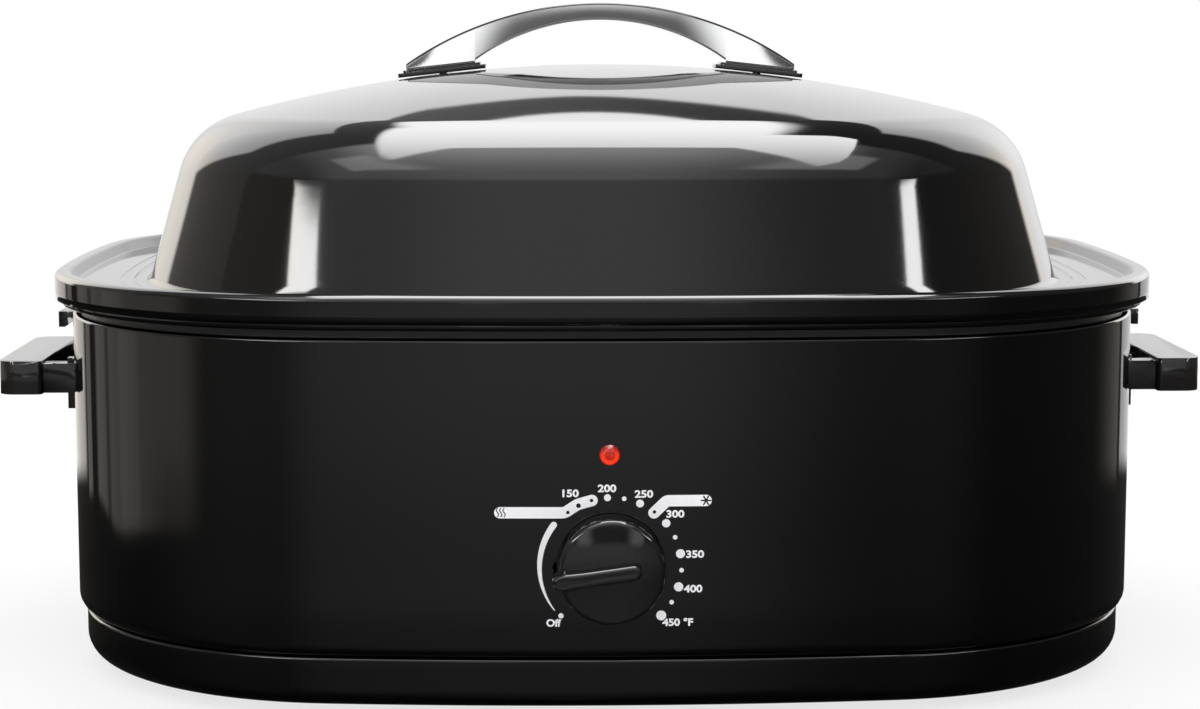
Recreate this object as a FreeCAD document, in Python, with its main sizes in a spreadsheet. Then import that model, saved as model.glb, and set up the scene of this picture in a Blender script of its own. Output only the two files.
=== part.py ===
import FreeCAD, Part
import math
import os
import re

import Sketcher
from FreeCAD import Placement, Rotation, Vector

# Electric roaster oven, in millimetres. The origin is on the surface that the feet stand on,
# under the middle of the housing. +X runs to the right along the length, +Y to the back, +Z up.

doc = FreeCAD.newDocument("roaster_oven")
sizes = doc.addObject("Spreadsheet::Sheet", "Sizes")

SIZES = {
    "plan outlines": {
        "body_half_length": 251,
        "body_half_depth": 203.5,
        "body_front_radius": 1250,
        "body_end_radius": 1250,
        "body_corner_radius": 137,
        "well_half_length": 218,
        "well_half_depth": 195.5,
        "well_front_radius": 900,
        "well_end_radius": 900,
        "well_corner_radius": 115,
    },
    "heights": {
        "foot_height": 4,
        "step_height": 27,
        "body_height": 166,
        "neck_height": 12,
        "rim_rise": 5,
        "dome_rise": 98.6,
        "dome_draft": 15.5,
        "dome_shoulder": 36,
        "crown_radius": 700,
    },
    "sheet metal": {
        "housing_sheet": 1,
        "base_sheet": 1,
        "liner_sheet": 1,
        "pan_sheet": 1,
        "lid_sheet": 1,
        "shield_sheet": 0.8,
    },
    "housing and base": {
        "hem_lip": 7,
        "hem_radius": 2,
        "step_lip": 9.5,
        "step_radius": 7,
        "base_inset": 3.5,
        "base_radius": 11,
        "base_lip": 9,
        "floor_inset": 20,
        "vent_radius": 3.5,
        "vent_circle": 62,
        "vent_count": 8,
    },
    "feet": {
        "foot_radius": 10,
        "foot_span_x": 165,
        "foot_span_y": 125,
        "foot_screw_radius": 2,
        "foot_head_radius": 4.2,
        "foot_head_height": 1.6,
        "foot_screw_length": 7,
    },
    "heating well and pan": {
        "liner_inset": 4,
        "pan_foot_inset": 27.76,
        "wall_draft": 0.18,
        "well_lift": 11.2,
        "well_gap": 5,
        "pan_radius": 20,
        "bottom_inset": 62,
        "pan_rim_out": 3,
        "bead_out": 2.5,
        "bead_height": 4.2,
        "bead_clear": 3.6,
        "bead_radius": 1.9,
    },
    "heaters and insulation": {
        "band_thickness": 2.5,
        "band_width": 26,
        "band_lower_lift": 16,
        "band_upper_lift": 56,
        "band_fit": 0.3,
        "clamp_width": 14,
        "clamp_length": 22,
        "clamp_thickness": 2,
        "blanket_gap": 0.6,
        "blanket_lift": 6,
        "blanket_drop": 20,
        "blanket_window": 34,
        "lamp_window_room": 17.5,
        "rear_window_room": 8,
        "handle_recess": 8,
        "shield_seat": 1.5,
    },
    "tie rod": {
        "rod_radius": 2.5,
        "rod_fit": 0.3,
        "nut_radius": 4.6,
        "nut_height": 2.8,
        "nut_fit": 0.03,
    },
    "thermostat": {
        "dial_height": 68,
        "stat_width": 36,
        "stat_depth": 15,
        "stat_tall": 34,
        "bracket_width": 44,
        "bracket_tall": 28,
        "bracket_sheet": 1.2,
        "seat_gap": 0.4,
        "shaft_radius": 3,
        "shaft_fit": 0.05,
        "shaft_in": 9,
        "shaft_reach": 12,
        "shaft_flat": 1.7,
        "flat_length": 9,
        "shaft_hole": 4,
        "stat_screw_offset": 13,
        "stat_screw_radius": 1.5,
        "stat_head_radius": 3,
        "stat_head_height": 1.8,
    },
    "knob": {
        "knob_radius": 23.5,
        "knob_gap": 1.2,
        "knob_skirt": 7.8,
        "knob_face": 4.5,
        "knob_face_radius": 19,
        "knob_wall": 3.5,
        "cavity_depth": 4.8,
        "hub_radius": 6.5,
        "hub_gap": 1.4,
        "grip_length": 45,
        "grip_width": 7.5,
        "grip_rise": 7,
        "grip_round": 3,
        "pointer_angle": 8,
        "spring_width": 3.4,
        "spring_thickness": 0.6,
        "spring_length": 7,
    },
    "indicator": {
        "lens_height": 116.5,
        "lens_radius": 4.4,
        "lens_out": 2.6,
        "lens_rim": 1,
        "barrel_radius": 3.4,
        "barrel_in": 7.5,
        "barrel_bore": 2.4,
        "neon_radius": 2.1,
        "neon_length": 6,
        "lens_hole_fit": 0.15,
        "clip_radius": 6.5,
        "clip_sheet": 0.6,
    },
    "rear fittings": {
        "cord_height": 58,
        "cord_offset": 22,
        "gland_bore": 3.6,
        "gland_radius": 6,
        "gland_flange": 9,
        "gland_flange_depth": 2.5,
        "gland_in": 6,
        "block_length": 34,
        "block_depth": 12,
        "block_tall": 18,
        "block_height": 62,
        "fuse_radius": 2.2,
        "fuse_length": 16,
        "earth_height": 44,
        "earth_radius": 2,
        "earth_head": 4,
    },
    "leads": {
        "lead_radius": 1.2,
        "lead_bend": 10,
        "lead_offset": 8,
        "lead_spacing": 6,
        "link_radius": 1,
    },
    "carry handles": {
        "handle_reach": 39,
        "handle_half_length": 52,
        "grip_drop": 44,
        "grip_height": 16,
        "grip_thick": 21,
        "grip_corner": 8,
        "mount_thick": 5,
        "mount_drop": 46,
        "mount_tall": 17.5,
        "mount_half_length": 44,
        "rib_drop": 52,
        "rib_out": 7,
        "rib_width": 6,
        "hook_drop": 7,
        "hook_sheet": 3,
        "hook_out": 14,
        "hook_lip": 7.5,
        "hook_half_length": 24,
        "riser_thick": 2.4,
        "handle_screw_span": 26,
        "handle_screw_drop": 37,
        "handle_screw_radius": 2,
        "handle_head_radius": 4,
        "handle_head_height": 2.4,
        "washer_radius": 5.5,
        "washer_thick": 1,
        "wall_seat": 0.3,
    },
    "wire rack": {
        "rack_inset": 21,
        "wire_radius": 2,
        "rung_radius": 1.5,
        "wire_fit": 0.05,
        "rung_count": 11,
        "rung_span": 280,
        "rack_rise": 12,
        "runner_offset": 70,
        "stub_offset": 98,
        "stub_radius": 2.3,
        "bail_half_width": 45,
        "bail_radius": 1.7,
        "bail_rise": 62,
        "bail_bend": 12,
    },
    "lid": {
        "lid_out": 8,
        "skirt_drop": 12.4,
        "crest_radius": 3,
        "crest_width": 7,
        "crest_foot": 3.5,
        "plate_inset": 6,
    },
    "lid handle": {
        "arch_rise": 30,
        "arch_outer_radius": 168,
        "arch_inner_rise": 21.8,
        "arch_inner_radius": 106,
        "arch_depth": 26,
        "arch_toe": 3,
        "seat_inner": 56,
        "pad_length": 43,
        "pad_depth": 30,
        "pad_thick": 2,
        "pad_step": 2.5,
        "pad_upper": 1.2,
        "pad_corner": 2,
        "pad_seat": 0.3,
        "dome_fit": 0.2,
        "lid_screw_radius": 2,
        "lid_screw_length": 15,
        "lid_head_radius": 4,
        "lid_head_height": 2.2,
        "lid_screw_fit": 0.4,
    },
}

row = 1
for heading, group in SIZES.items():
    sizes.set(f"A{row}", heading)
    for alias, number in group.items():
        row += 1
        sizes.set(f"A{row}", alias)
        sizes.set(f"B{row}", str(number))
        sizes.setAlias(f"B{row}", alias)
    row += 2
doc.recompute()

# The dome's side view is a drafted line, a shoulder arc and the long crown arc, all tangent.
# These cells find the shoulder's centre: the drafted line moved in by the shoulder's radius
# meets the crown's circle made smaller by the same radius. The next cells find the centre of
# the well outline's corner arc, which all its parallel curves share. The last ones are heights:
# what stands on the well's bottom is measured up from it, and what hangs on the housing's top
# edge is measured down from that.
DRAFT = "(Sizes.dome_draft * 1 deg)"
SPRING_HEIGHT = "(Sizes.body_height + Sizes.neck_height + Sizes.pan_sheet + Sizes.lid_sheet)"
WORKED = {
    "crown_centre": f"{SPRING_HEIGHT} + Sizes.dome_rise - Sizes.crown_radius",
    "start_x": f"Sizes.well_half_length - Sizes.dome_shoulder * cos{DRAFT}",
    "start_z": f"{SPRING_HEIGHT} - Sizes.dome_shoulder * sin{DRAFT} - crown_centre",
    "start_along": f"start_z * cos{DRAFT} - start_x * sin{DRAFT}",
    "line_length": "sqrt(start_along^2 - start_x^2 - start_z^2"
                   " + (Sizes.crown_radius - Sizes.dome_shoulder)^2) - start_along",
    "shoulder_x": f"start_x - line_length * sin{DRAFT}",
    "shoulder_z": f"start_z + crown_centre + line_length * cos{DRAFT}",
    "crown_turn": "atan(shoulder_x / (shoulder_z - crown_centre))",
    "end_reach": "Sizes.well_end_radius - Sizes.well_corner_radius",
    "front_reach": "Sizes.well_front_radius - Sizes.well_corner_radius",
    "end_centre": "Sizes.well_half_length - Sizes.well_end_radius",
    "front_centre": "Sizes.well_half_depth - Sizes.well_front_radius",
    "centre_gap": "sqrt(end_centre^2 + front_centre^2)",
    "gap_along": "(end_reach^2 - front_reach^2 + centre_gap^2) / (2 * centre_gap)",
    "gap_across": "sqrt(end_reach^2 - gap_along^2)",
    "corner_x": "end_centre - (gap_along * end_centre + gap_across * front_centre) / centre_gap",
    "corner_y": "(gap_along * front_centre - gap_across * end_centre) / centre_gap",
    "well_bottom": "Sizes.step_height + Sizes.housing_sheet + Sizes.shield_sheet + Sizes.well_lift",
    "pan_bottom": "well_bottom + Sizes.liner_sheet + Sizes.well_gap",
    "band_lower": "well_bottom + Sizes.band_lower_lift",
    "band_upper": "well_bottom + Sizes.band_upper_lift",
    "blanket_bottom": "well_bottom + Sizes.blanket_lift",
    "blanket_top": "Sizes.body_height - Sizes.blanket_drop",
    "lamp_window_top": "Sizes.lens_height + Sizes.lamp_window_room",
    "rear_window_top": "band_upper + (Sizes.band_width + Sizes.clamp_width) / 2"
                       " + Sizes.rear_window_room",
    "grip_bottom": "Sizes.body_height - Sizes.grip_drop",
    "mount_bottom": "Sizes.body_height - Sizes.mount_drop",
    "mount_top": "mount_bottom + Sizes.mount_tall",
    "rib_bottom": "Sizes.body_height - Sizes.rib_drop",
    "hook_top": "Sizes.body_height - Sizes.hook_drop",
    "handle_screw_height": "Sizes.body_height - Sizes.handle_screw_drop",
    "arch_top": f"{SPRING_HEIGHT} + Sizes.dome_rise + Sizes.arch_rise",
    "arch_inner_top": f"{SPRING_HEIGHT} + Sizes.dome_rise + Sizes.arch_inner_rise",
}
worked = doc.addObject("Spreadsheet::Sheet", "Worked")
for row, (alias, formula) in enumerate(WORKED.items(), 1):
    worked.set(f"A{row}", alias)
    worked.setAlias(f"B{row}", alias)
    worked.set(f"B{row}", "=" + formula)
doc.recompute()

# ---------------------------------------------------------------- working tools


def in_sheets(expression):
    """Expression with each alias led by its sheet. Every alias holds an underscore."""
    def lead(match):
        return ("Worked." if match[0] in WORKED else "Sizes.") + match[0]
    return re.sub(r"\b[a-z]+(?:_[a-z]+)+\b", lead, expression)


def value(expression):
    """Number that an expression in the sheets' own words gives."""
    result = sizes.evalExpression(in_sheets(expression))
    return float(getattr(result, "Value", result))


def bind(thing, prop, expression):
    """Tie a property to the sheets."""
    thing.setExpression(prop, in_sheets(expression))


def new_body(label):
    """Body that becomes one sub-part, or a tool of one, under its own label."""
    body = doc.addObject("PartDesign::Body", label)
    body.Label = label
    return body


def new_sketch(body, name, role, lift="0"):
    """Sketch on one of the body's own origin planes, moved along that plane's normal."""
    sketch = body.newObject("Sketcher::SketchObject", name)
    plane = [feature for feature in body.Origin.OriginFeatures if feature.Role == role][0]
    sketch.AttachmentSupport = [(plane, "")]
    sketch.MapMode = "FlatFace"
    bind(sketch, "AttachmentOffset.Base.z", lift)
    return sketch


def dimension(sketch, name, expression, *geometry):
    """One driving dimension of a sketch, tied to the sheet."""
    kind = name.split("_")[0]
    index = sketch.addConstraint(Sketcher.Constraint(kind, *geometry, value(expression)))
    sketch.renameConstraint(index, name)
    bind(sketch, "Constraints." + name, expression)


def pin_point(sketch, element, vertex, x, y):
    """Fix a sketch point at two sheet expressions."""
    dimension(sketch, f"DistanceX_{element}_{vertex}", x, -1, 1, element, vertex)
    dimension(sketch, f"DistanceY_{element}_{vertex}", y, -1, 1, element, vertex)


def add_arc(sketch, centre, radius, start, end):
    """Anticlockwise arc between two angles in radians."""
    circle = Part.Circle(centre, Vector(0, 0, 1), radius)
    return sketch.addGeometry(Part.ArcOfCircle(circle, start, end), False)


def add_circle(sketch, x, y, radius):
    """Circle with its centre and radius tied to the sheet."""
    centre = Vector(value(x), value(y), 0)
    index = sketch.addGeometry(Part.Circle(centre, Vector(0, 0, 1), value(radius)), False)
    pin_point(sketch, index, 3, x, y)
    dimension(sketch, f"Radius_{index}", radius, index)


def add_path(sketch, corners, closed=True):
    """Straight runs through corners of (x, y, radius). A corner with a radius is a tangent arc
    that keeps its sharp corner as a construction point, so its place stays tied to the sheet."""
    count = len(corners)
    points = [Vector(value(corner[0]), value(corner[1]), 0) for corner in corners]
    starts, ends, arcs = list(points), list(points), {}
    for i, corner in enumerate(corners):
        if len(corner) < 3:
            continue
        radius = value(corner[2])
        back = (points[i - 1] - points[i]).normalize()
        ahead = (points[(i + 1) % count] - points[i]).normalize()
        half = back.getAngle(ahead) / 2
        starts[i] = points[i] + back * (radius / math.tan(half))
        ends[i] = points[i] + ahead * (radius / math.tan(half))
        middle = points[i] + (back + ahead).normalize() * (radius / math.sin(half))
        arcs[i] = (middle, radius, back.cross(ahead).z < 0)
    runs = count if closed else count - 1
    lines = [
        sketch.addGeometry(Part.LineSegment(ends[i], starts[(i + 1) % count]), False)
        for i in range(runs)
    ]
    for i, corner in enumerate(corners):
        outgoing = lines[i % runs] if closed or i < runs else None
        incoming = lines[i - 1] if closed or i > 0 else None
        if i not in arcs:
            if outgoing is None:
                pin_point(sketch, incoming, 2, corner[0], corner[1])
                continue
            pin_point(sketch, outgoing, 1, corner[0], corner[1])
            if incoming is not None:
                sketch.addConstraint(Sketcher.Constraint("Coincident", incoming, 2, outgoing, 1))
            continue
        middle, radius, anticlockwise = arcs[i]
        first, last = starts[i] - middle, ends[i] - middle
        if not anticlockwise:
            first, last = last, first
        arc = add_arc(sketch, middle, radius, math.atan2(first.y, first.x), math.atan2(last.y, last.x))
        near, far = (1, 2) if anticlockwise else (2, 1)
        sketch.addConstraint(Sketcher.Constraint("Tangent", incoming, 2, arc, near))
        sketch.addConstraint(Sketcher.Constraint("Tangent", arc, far, outgoing, 1))
        dimension(sketch, f"Radius_{arc}", corner[2], arc)
        peak = sketch.addGeometry(Part.Point(points[i]), True)
        sketch.addConstraint(Sketcher.Constraint("PointOnObject", peak, 1, incoming))
        sketch.addConstraint(Sketcher.Constraint("PointOnObject", peak, 1, outgoing))
        pin_point(sketch, peak, 1, corner[0], corner[1])


def add_rectangle(sketch, x_low, y_low, x_high, y_high, *radius):
    """Rectangle between two corners, with one radius for all four corners if it is given."""
    add_path(sketch, [(x_low, y_low, *radius), (x_high, y_low, *radius),
                      (x_high, y_high, *radius), (x_low, y_high, *radius)])


def add_plan(sketch, plan, grow="0", share="1"):
    """Closed plan outline: front, end and corner arcs, tangent to each other, so that growing
    it by an offset gives a true parallel curve. A share scales it about the middle."""
    half_length = f"({plan}_half_length * {share} + ({grow}))"
    half_depth = f"({plan}_half_depth * {share} + ({grow}))"
    front = f"({plan}_front_radius * {share} + ({grow}))"
    end = f"({plan}_end_radius * {share} + ({grow}))"
    corner = f"({plan}_corner_radius * {share} + ({grow}))"
    end_middle = Vector(value(f"{half_length} - {end}"), 0, 0)
    front_middle = Vector(0, value(f"{half_depth} - {front}"), 0)
    end_reach, front_reach = value(f"{end} - {corner}"), value(f"{front} - {corner}")
    line = front_middle - end_middle
    gap = line.Length
    along = (end_reach**2 - front_reach**2 + gap**2) / (2 * gap)
    across = math.sqrt(end_reach**2 - along**2)
    unit = line / gap
    middle = end_middle + unit * along + Vector(unit.y, -unit.x, 0) * across
    if middle.x < 0 or middle.y < 0:
        middle = end_middle + unit * along - Vector(unit.y, -unit.x, 0) * across
    end_turn = math.atan2(middle.y - end_middle.y, middle.x - end_middle.x)
    front_turn = math.atan2(middle.y - front_middle.y, middle.x - front_middle.x)
    half_turn = math.pi
    corner_reach = value(corner)
    spans = [
        (end_middle, value(end), -end_turn, end_turn),
        (middle, corner_reach, end_turn, front_turn),
        (front_middle, value(front), front_turn, half_turn - front_turn),
        (Vector(-middle.x, middle.y, 0), corner_reach, half_turn - front_turn, half_turn - end_turn),
        (-end_middle, value(end), half_turn - end_turn, half_turn + end_turn),
        (-middle, corner_reach, half_turn + end_turn, half_turn + front_turn),
        (-front_middle, value(front), half_turn + front_turn, 2 * half_turn - front_turn),
        (Vector(middle.x, -middle.y, 0), corner_reach, -front_turn, -end_turn),
    ]
    first = [add_arc(sketch, *span) for span in spans][0]
    for i in range(8):
        tangent = Sketcher.Constraint("Tangent", first + i, 2, first + (i + 1) % 8, 1)
        sketch.addConstraint(tangent)
    for i, axis in ((0, -1), (4, -1), (2, -2), (6, -2)):
        sketch.addConstraint(Sketcher.Constraint("PointOnObject", first + i, 3, axis))
    for i, j in ((0, 4), (2, 6), (1, 3), (1, 5), (1, 7)):
        sketch.addConstraint(Sketcher.Constraint("Equal", first + i, first + j))
    for i, radius in ((0, end), (2, front), (1, corner)):
        dimension(sketch, f"Radius_{first + i}", radius, first + i)
    for i, kind, sign, place in ((0, "X", "", f"{half_length} - {end}"),
                                 (4, "X", "-", f"{half_length} - {end}"),
                                 (2, "Y", "", f"{half_depth} - {front}"),
                                 (6, "Y", "-", f"{half_depth} - {front}")):
        name = f"Distance{kind}_{first + i}"
        dimension(sketch, name, f"{sign}({place})", -1, 1, first + i, 3)


def pad(body, name, sketch, length, reverse=False, both=False):
    """Pad a sketch along its normal, against it, or half each way."""
    feature = body.newObject("PartDesign::Pad", name)
    feature.Profile = sketch
    bind(feature, "Length", length)
    feature.Reversed = reverse
    feature.Midplane = both
    return feature


def pocket(body, name, sketch, length, reverse=False, both=False):
    """Cut a sketch into the body against its normal, along it, or half each way."""
    feature = body.newObject("PartDesign::Pocket", name)
    feature.Profile = sketch
    bind(feature, "Length", length)
    feature.Reversed = reverse
    feature.Midplane = both
    return feature


def plate(body, name, plan, grow, bottom, thickness, reverse=False):
    """Flat plate or block of the plan outline."""
    sketch = new_sketch(body, name + "_outline", "XY_Plane", bottom)
    add_plan(sketch, plan, grow)
    return pad(body, name, sketch, thickness, reverse)


def opening(body, name, plan, grow, bottom, depth):
    """Opening of the plan outline, cut upwards from its bottom."""
    sketch = new_sketch(body, name + "_outline", "XY_Plane", bottom)
    add_plan(sketch, plan, grow)
    return pocket(body, name, sketch, depth, reverse=True)


def wall(body, name, plan, corners):
    """Formed sheet wall: a section of (offset, height, radius) carried round the plan outline."""
    path = new_sketch(body, name + "_path", "XY_Plane")
    add_plan(path, plan)
    section = new_sketch(body, name + "_section", "XZ_Plane")
    add_path(section, [(f"{plan}_half_length + ({corner[0]})", *corner[1:]) for corner in corners])
    feature = body.newObject("PartDesign::AdditivePipe", name)
    feature.Profile = section
    feature.Spine = (path, [])
    return feature


def drill(body, name, role, lift, x, y, radius, depth, reverse=False):
    """Round hole cut from a plane parallel to one of the origin planes."""
    sketch = new_sketch(body, name + "_circle", role, lift)
    add_circle(sketch, x, y, radius)
    return pocket(body, name, sketch, depth, reverse)


def post(body, name, role, lift, x, y, radius, length, reverse=False):
    """Round post from a plane parallel to one of the origin planes."""
    sketch = new_sketch(body, name + "_circle", role, lift)
    add_circle(sketch, x, y, radius)
    return pad(body, name, sketch, length, reverse)


def revolve(body, name, corners):
    """Turned piece about the body's own Y axis, from corners of (radius, depth, radius)."""
    sketch = new_sketch(body, name + "_section", "XY_Plane")
    add_path(sketch, corners)
    feature = body.newObject("PartDesign::Revolution", name)
    feature.Profile = sketch
    axis = [item for item in body.Origin.OriginFeatures if item.Role == "Y_Axis"][0]
    feature.ReferenceAxis = (axis, [""])
    feature.Angle = 360
    return feature


def cylinder(name, radius, length):
    """Plain cylinder along its own Z axis."""
    solid = doc.addObject("Part::Cylinder", name)
    bind(solid, "Radius", radius)
    bind(solid, "Height", length)
    return solid


def move(thing, x, y, z, axis=Vector(0, 0, 1), angle=0):
    """Place a piece at three sheet expressions, turned about an axis by an angle in degrees."""
    thing.Placement = Placement(Vector(), Rotation(axis, angle))
    for direction, expression in zip("xyz", (x, y, z)):
        bind(thing, "Placement.Base." + direction, expression)


def screw(name, shank, length, head, head_height):
    """Screw along its own Z axis: head below the origin, shank above it."""
    shaft = cylinder(name + "_shank", shank, length)
    cap = cylinder(name + "_head", head, head_height)
    bind(cap, "Placement.Base.z", f"-({head_height})")
    whole = doc.addObject("Part::Fuse", name)
    whole.Base = shaft
    whole.Tool = cap
    return whole


def washer(name, outer, inner, thickness):
    """Flat ring along its own Z axis, from the origin upwards."""
    blank = cylinder(name + "_blank", outer, thickness)
    hole = cylinder(name + "_hole", inner, thickness)
    ring = doc.addObject("Part::Cut", name)
    ring.Base = blank
    ring.Tool = hole
    return ring


def group(label, members):
    """Like pieces under one label, each a solid of its own."""
    whole = doc.addObject("Part::Compound", label)
    whole.Label = label
    whole.Links = members
    return whole


def front_at(grow, width):
    """Y of the front wall's outline grown by an offset, at a distance from the middle."""
    radius = f"(body_front_radius + ({grow}))"
    return f"(-(body_half_depth + ({grow})) + {radius} - sqrt({radius}^2 - ({width})^2))"


def end_at(grow, width):
    """X of the right end's outline grown by an offset, at a distance from the middle."""
    radius = f"(body_end_radius + ({grow}))"
    return f"(body_half_length + ({grow}) - {radius} + sqrt({radius}^2 - ({width})^2))"


def wall_inset(height):
    """Offset of the pan's outer wall from the well outline at a height: it widens upwards."""
    return f"(-pan_foot_inset + wall_draft * (({height}) - pan_bottom))"


NODES = []


def node(piece):
    """Keep a finished piece for export under its label."""
    NODES.append(piece)
    return piece


# ---------------------------------------------------------------- outer housing
# One wrapped and enamelled steel wall. Its top edge is rolled inwards as a hem, and its lower
# edge turns in as a lip that stands on the base pan.

housing = node(new_body("outer_housing"))
wall(housing, "housing_wall", "body", [
    ("-hem_lip", "body_height"),
    ("0", "body_height", "hem_radius"),
    ("0", "step_height", "step_radius"),
    ("-step_lip", "step_height"),
    ("-step_lip", "step_height + housing_sheet"),
    ("-housing_sheet", "step_height + housing_sheet", "step_radius - housing_sheet"),
    ("-housing_sheet", "body_height - housing_sheet", "hem_radius - housing_sheet"),
    ("-hem_lip", "body_height - housing_sheet"),
])
doc.recompute()
WALL_CUT = "10 * housing_sheet"
FRONT = "body_half_depth + 2 * housing_sheet"
drill(housing, "shaft_hole", "XZ_Plane", FRONT, "0", "dial_height", "shaft_hole", WALL_CUT)
drill(housing, "lens_hole", "XZ_Plane", FRONT, "0", "lens_height",
      "barrel_radius + lens_hole_fit", WALL_CUT)
for side in ("-", ""):
    drill(housing, "stat_hole_left" if side else "stat_hole_right", "XZ_Plane", FRONT,
          f"{side}stat_screw_offset", "dial_height", "stat_screw_radius + rod_fit", WALL_CUT)
drill(housing, "cord_hole", "XZ_Plane", f"-({FRONT})", "cord_offset", "cord_height",
      "gland_radius + rod_fit", WALL_CUT, reverse=True)
drill(housing, "earth_hole", "XZ_Plane", f"-({FRONT})", "-cord_offset", "earth_height",
      "earth_radius + rod_fit", WALL_CUT, reverse=True)
SIDES = (("right", "", False), ("left", "-", True))
for end, sign, mirrored in SIDES:
    for back in ("", "-"):
        name = f"{end}_handle_hole_{'front' if back else 'back'}"
        drill(housing, name, "YZ_Plane", f"{sign}(body_half_length + 2 * housing_sheet)",
              f"{back}handle_screw_span", "handle_screw_height",
              "handle_screw_radius + rod_fit", WALL_CUT, reverse=mirrored)

# ---------------------------------------------------------------- base pan
# Shallow pressed dish. It carries the housing's lower lip on its own inward lip.

base = node(new_body("base_pan"))
plate(base, "base_floor", "body", "-floor_inset", "foot_height", "base_sheet")
wall(base, "base_wall", "body", [
    ("-floor_inset", "foot_height"),
    ("-base_inset", "foot_height", "base_radius"),
    ("-base_inset", "step_height", "base_sheet * 1.5"),
    ("-base_inset - base_lip", "step_height"),
    ("-base_inset - base_lip", "step_height - base_sheet"),
    ("-base_inset - base_sheet", "step_height - base_sheet", "base_sheet / 2"),
    ("-base_inset - base_sheet", "foot_height + base_sheet", "base_radius - base_sheet"),
    ("-floor_inset", "foot_height + base_sheet"),
])
doc.recompute()
FEET = [(name, x, y) for name, x, y in (
    ("front_left", "-", "-"), ("front_right", "", "-"), ("back_left", "-", ""), ("back_right", "", ""))]
for name, x, y in FEET:
    drill(base, "foot_hole_" + name, "XY_Plane", "foot_height + base_sheet",
          f"{x}foot_span_x", f"{y}foot_span_y", "foot_screw_radius", "base_sheet")
drill(base, "rod_hole", "XY_Plane", "foot_height + base_sheet", "0", "0",
      "rod_radius + rod_fit", "base_sheet")
for i in range(int(value("vent_count"))):
    turn = f"{i} * 360 deg / vent_count"
    drill(base, f"vent_{i}", "XY_Plane", "foot_height + base_sheet",
          f"vent_circle * cos({turn})", f"vent_circle * sin({turn})", "vent_radius", "base_sheet")

# ---------------------------------------------------------------- feet
# Rubber buttons, each held by one self-tapping screw whose head sits up inside the rubber.

foot_screws = []
for name, x, y in FEET:
    foot = node(new_body("foot_" + name))
    post(foot, "button", "XY_Plane", "0", f"{x}foot_span_x", f"{y}foot_span_y",
         "foot_radius", "foot_height")
    doc.recompute()
    drill(foot, "head_recess", "XY_Plane", "0", f"{x}foot_span_x", f"{y}foot_span_y",
          "foot_head_radius + rod_fit", "foot_height - foot_head_height", reverse=True)
    drill(foot, "shank_hole", "XY_Plane", "foot_height", f"{x}foot_span_x", f"{y}foot_span_y",
          "foot_screw_radius + rod_fit", "foot_height")
    fixing = screw("foot_screw_" + name, "foot_screw_radius", "foot_screw_length",
                   "foot_head_radius", "foot_head_height")
    move(fixing, f"{x}foot_span_x", f"{y}foot_span_y", "foot_height - foot_head_height")
    foot_screws.append(fixing)
node(group("foot_screws", foot_screws))

# ---------------------------------------------------------------- heating well
# Bright steel liner. Its flange caps the housing's hem, and the pan hangs in it by its own rim.

FLANGE = "(body_height + neck_height)"
WELL_OUT = "(well_gap + liner_sheet)"
liner = node(new_body("heating_well"))
plate(liner, "well_flange", "body", "-liner_inset", f"{FLANGE} - liner_sheet", "liner_sheet")
wall(liner, "well_skirt", "body", [
    ("-liner_inset - liner_sheet", "body_height"),
    ("-liner_inset", "body_height"),
    ("-liner_inset", FLANGE),
    ("-liner_inset - liner_sheet", FLANGE),
])
doc.recompute()
opening(liner, "well_mouth", "well", f"{wall_inset(FLANGE)} + well_gap",
        f"{FLANGE} - liner_sheet * 2", "liner_sheet * 3")
wall(liner, "well_wall", "well", [
    (f"{wall_inset(FLANGE)} + well_gap", FLANGE),
    (f"{wall_inset('well_bottom')} + well_gap", "well_bottom + liner_sheet", "pan_radius + well_gap"),
    ("-bottom_inset", "well_bottom + liner_sheet"),
    ("-bottom_inset", "well_bottom"),
    (f"{wall_inset('well_bottom')} + {WELL_OUT}", "well_bottom", f"pan_radius + {WELL_OUT}"),
    (f"{wall_inset(FLANGE)} + {WELL_OUT}", FLANGE),
])
plate(liner, "well_floor", "well", "-bottom_inset", "well_bottom", "liner_sheet")

# ---------------------------------------------------------------- heat shield and tie rod
# The shield is a flat plate that lies on the housing's lower lip. The rod is welded under the
# well, passes the shield and the base, and its nut clamps the whole stack.

SHIELD = "(step_height + housing_sheet)"
shield = node(new_body("heat_shield"))
plate(shield, "shield_plate", "body", "-step_lip + shield_seat", SHIELD, "shield_sheet")
doc.recompute()
drill(shield, "rod_hole", "XY_Plane", f"{SHIELD} + shield_sheet", "0", "0",
      "rod_radius + rod_fit", "shield_sheet")

rod = node(cylinder("tie_rod", "rod_radius", "well_bottom - foot_height + nut_height"))
move(rod, "0", "0", "foot_height - nut_height")
nut = node(washer("tie_rod_nut", "nut_radius", "rod_radius + nut_fit", "nut_height"))
move(nut, "0", "0", "foot_height - nut_height")

# ---------------------------------------------------------------- band heaters
# Two mica strips wound with resistance wire, clamped round the outside of the well.

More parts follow.
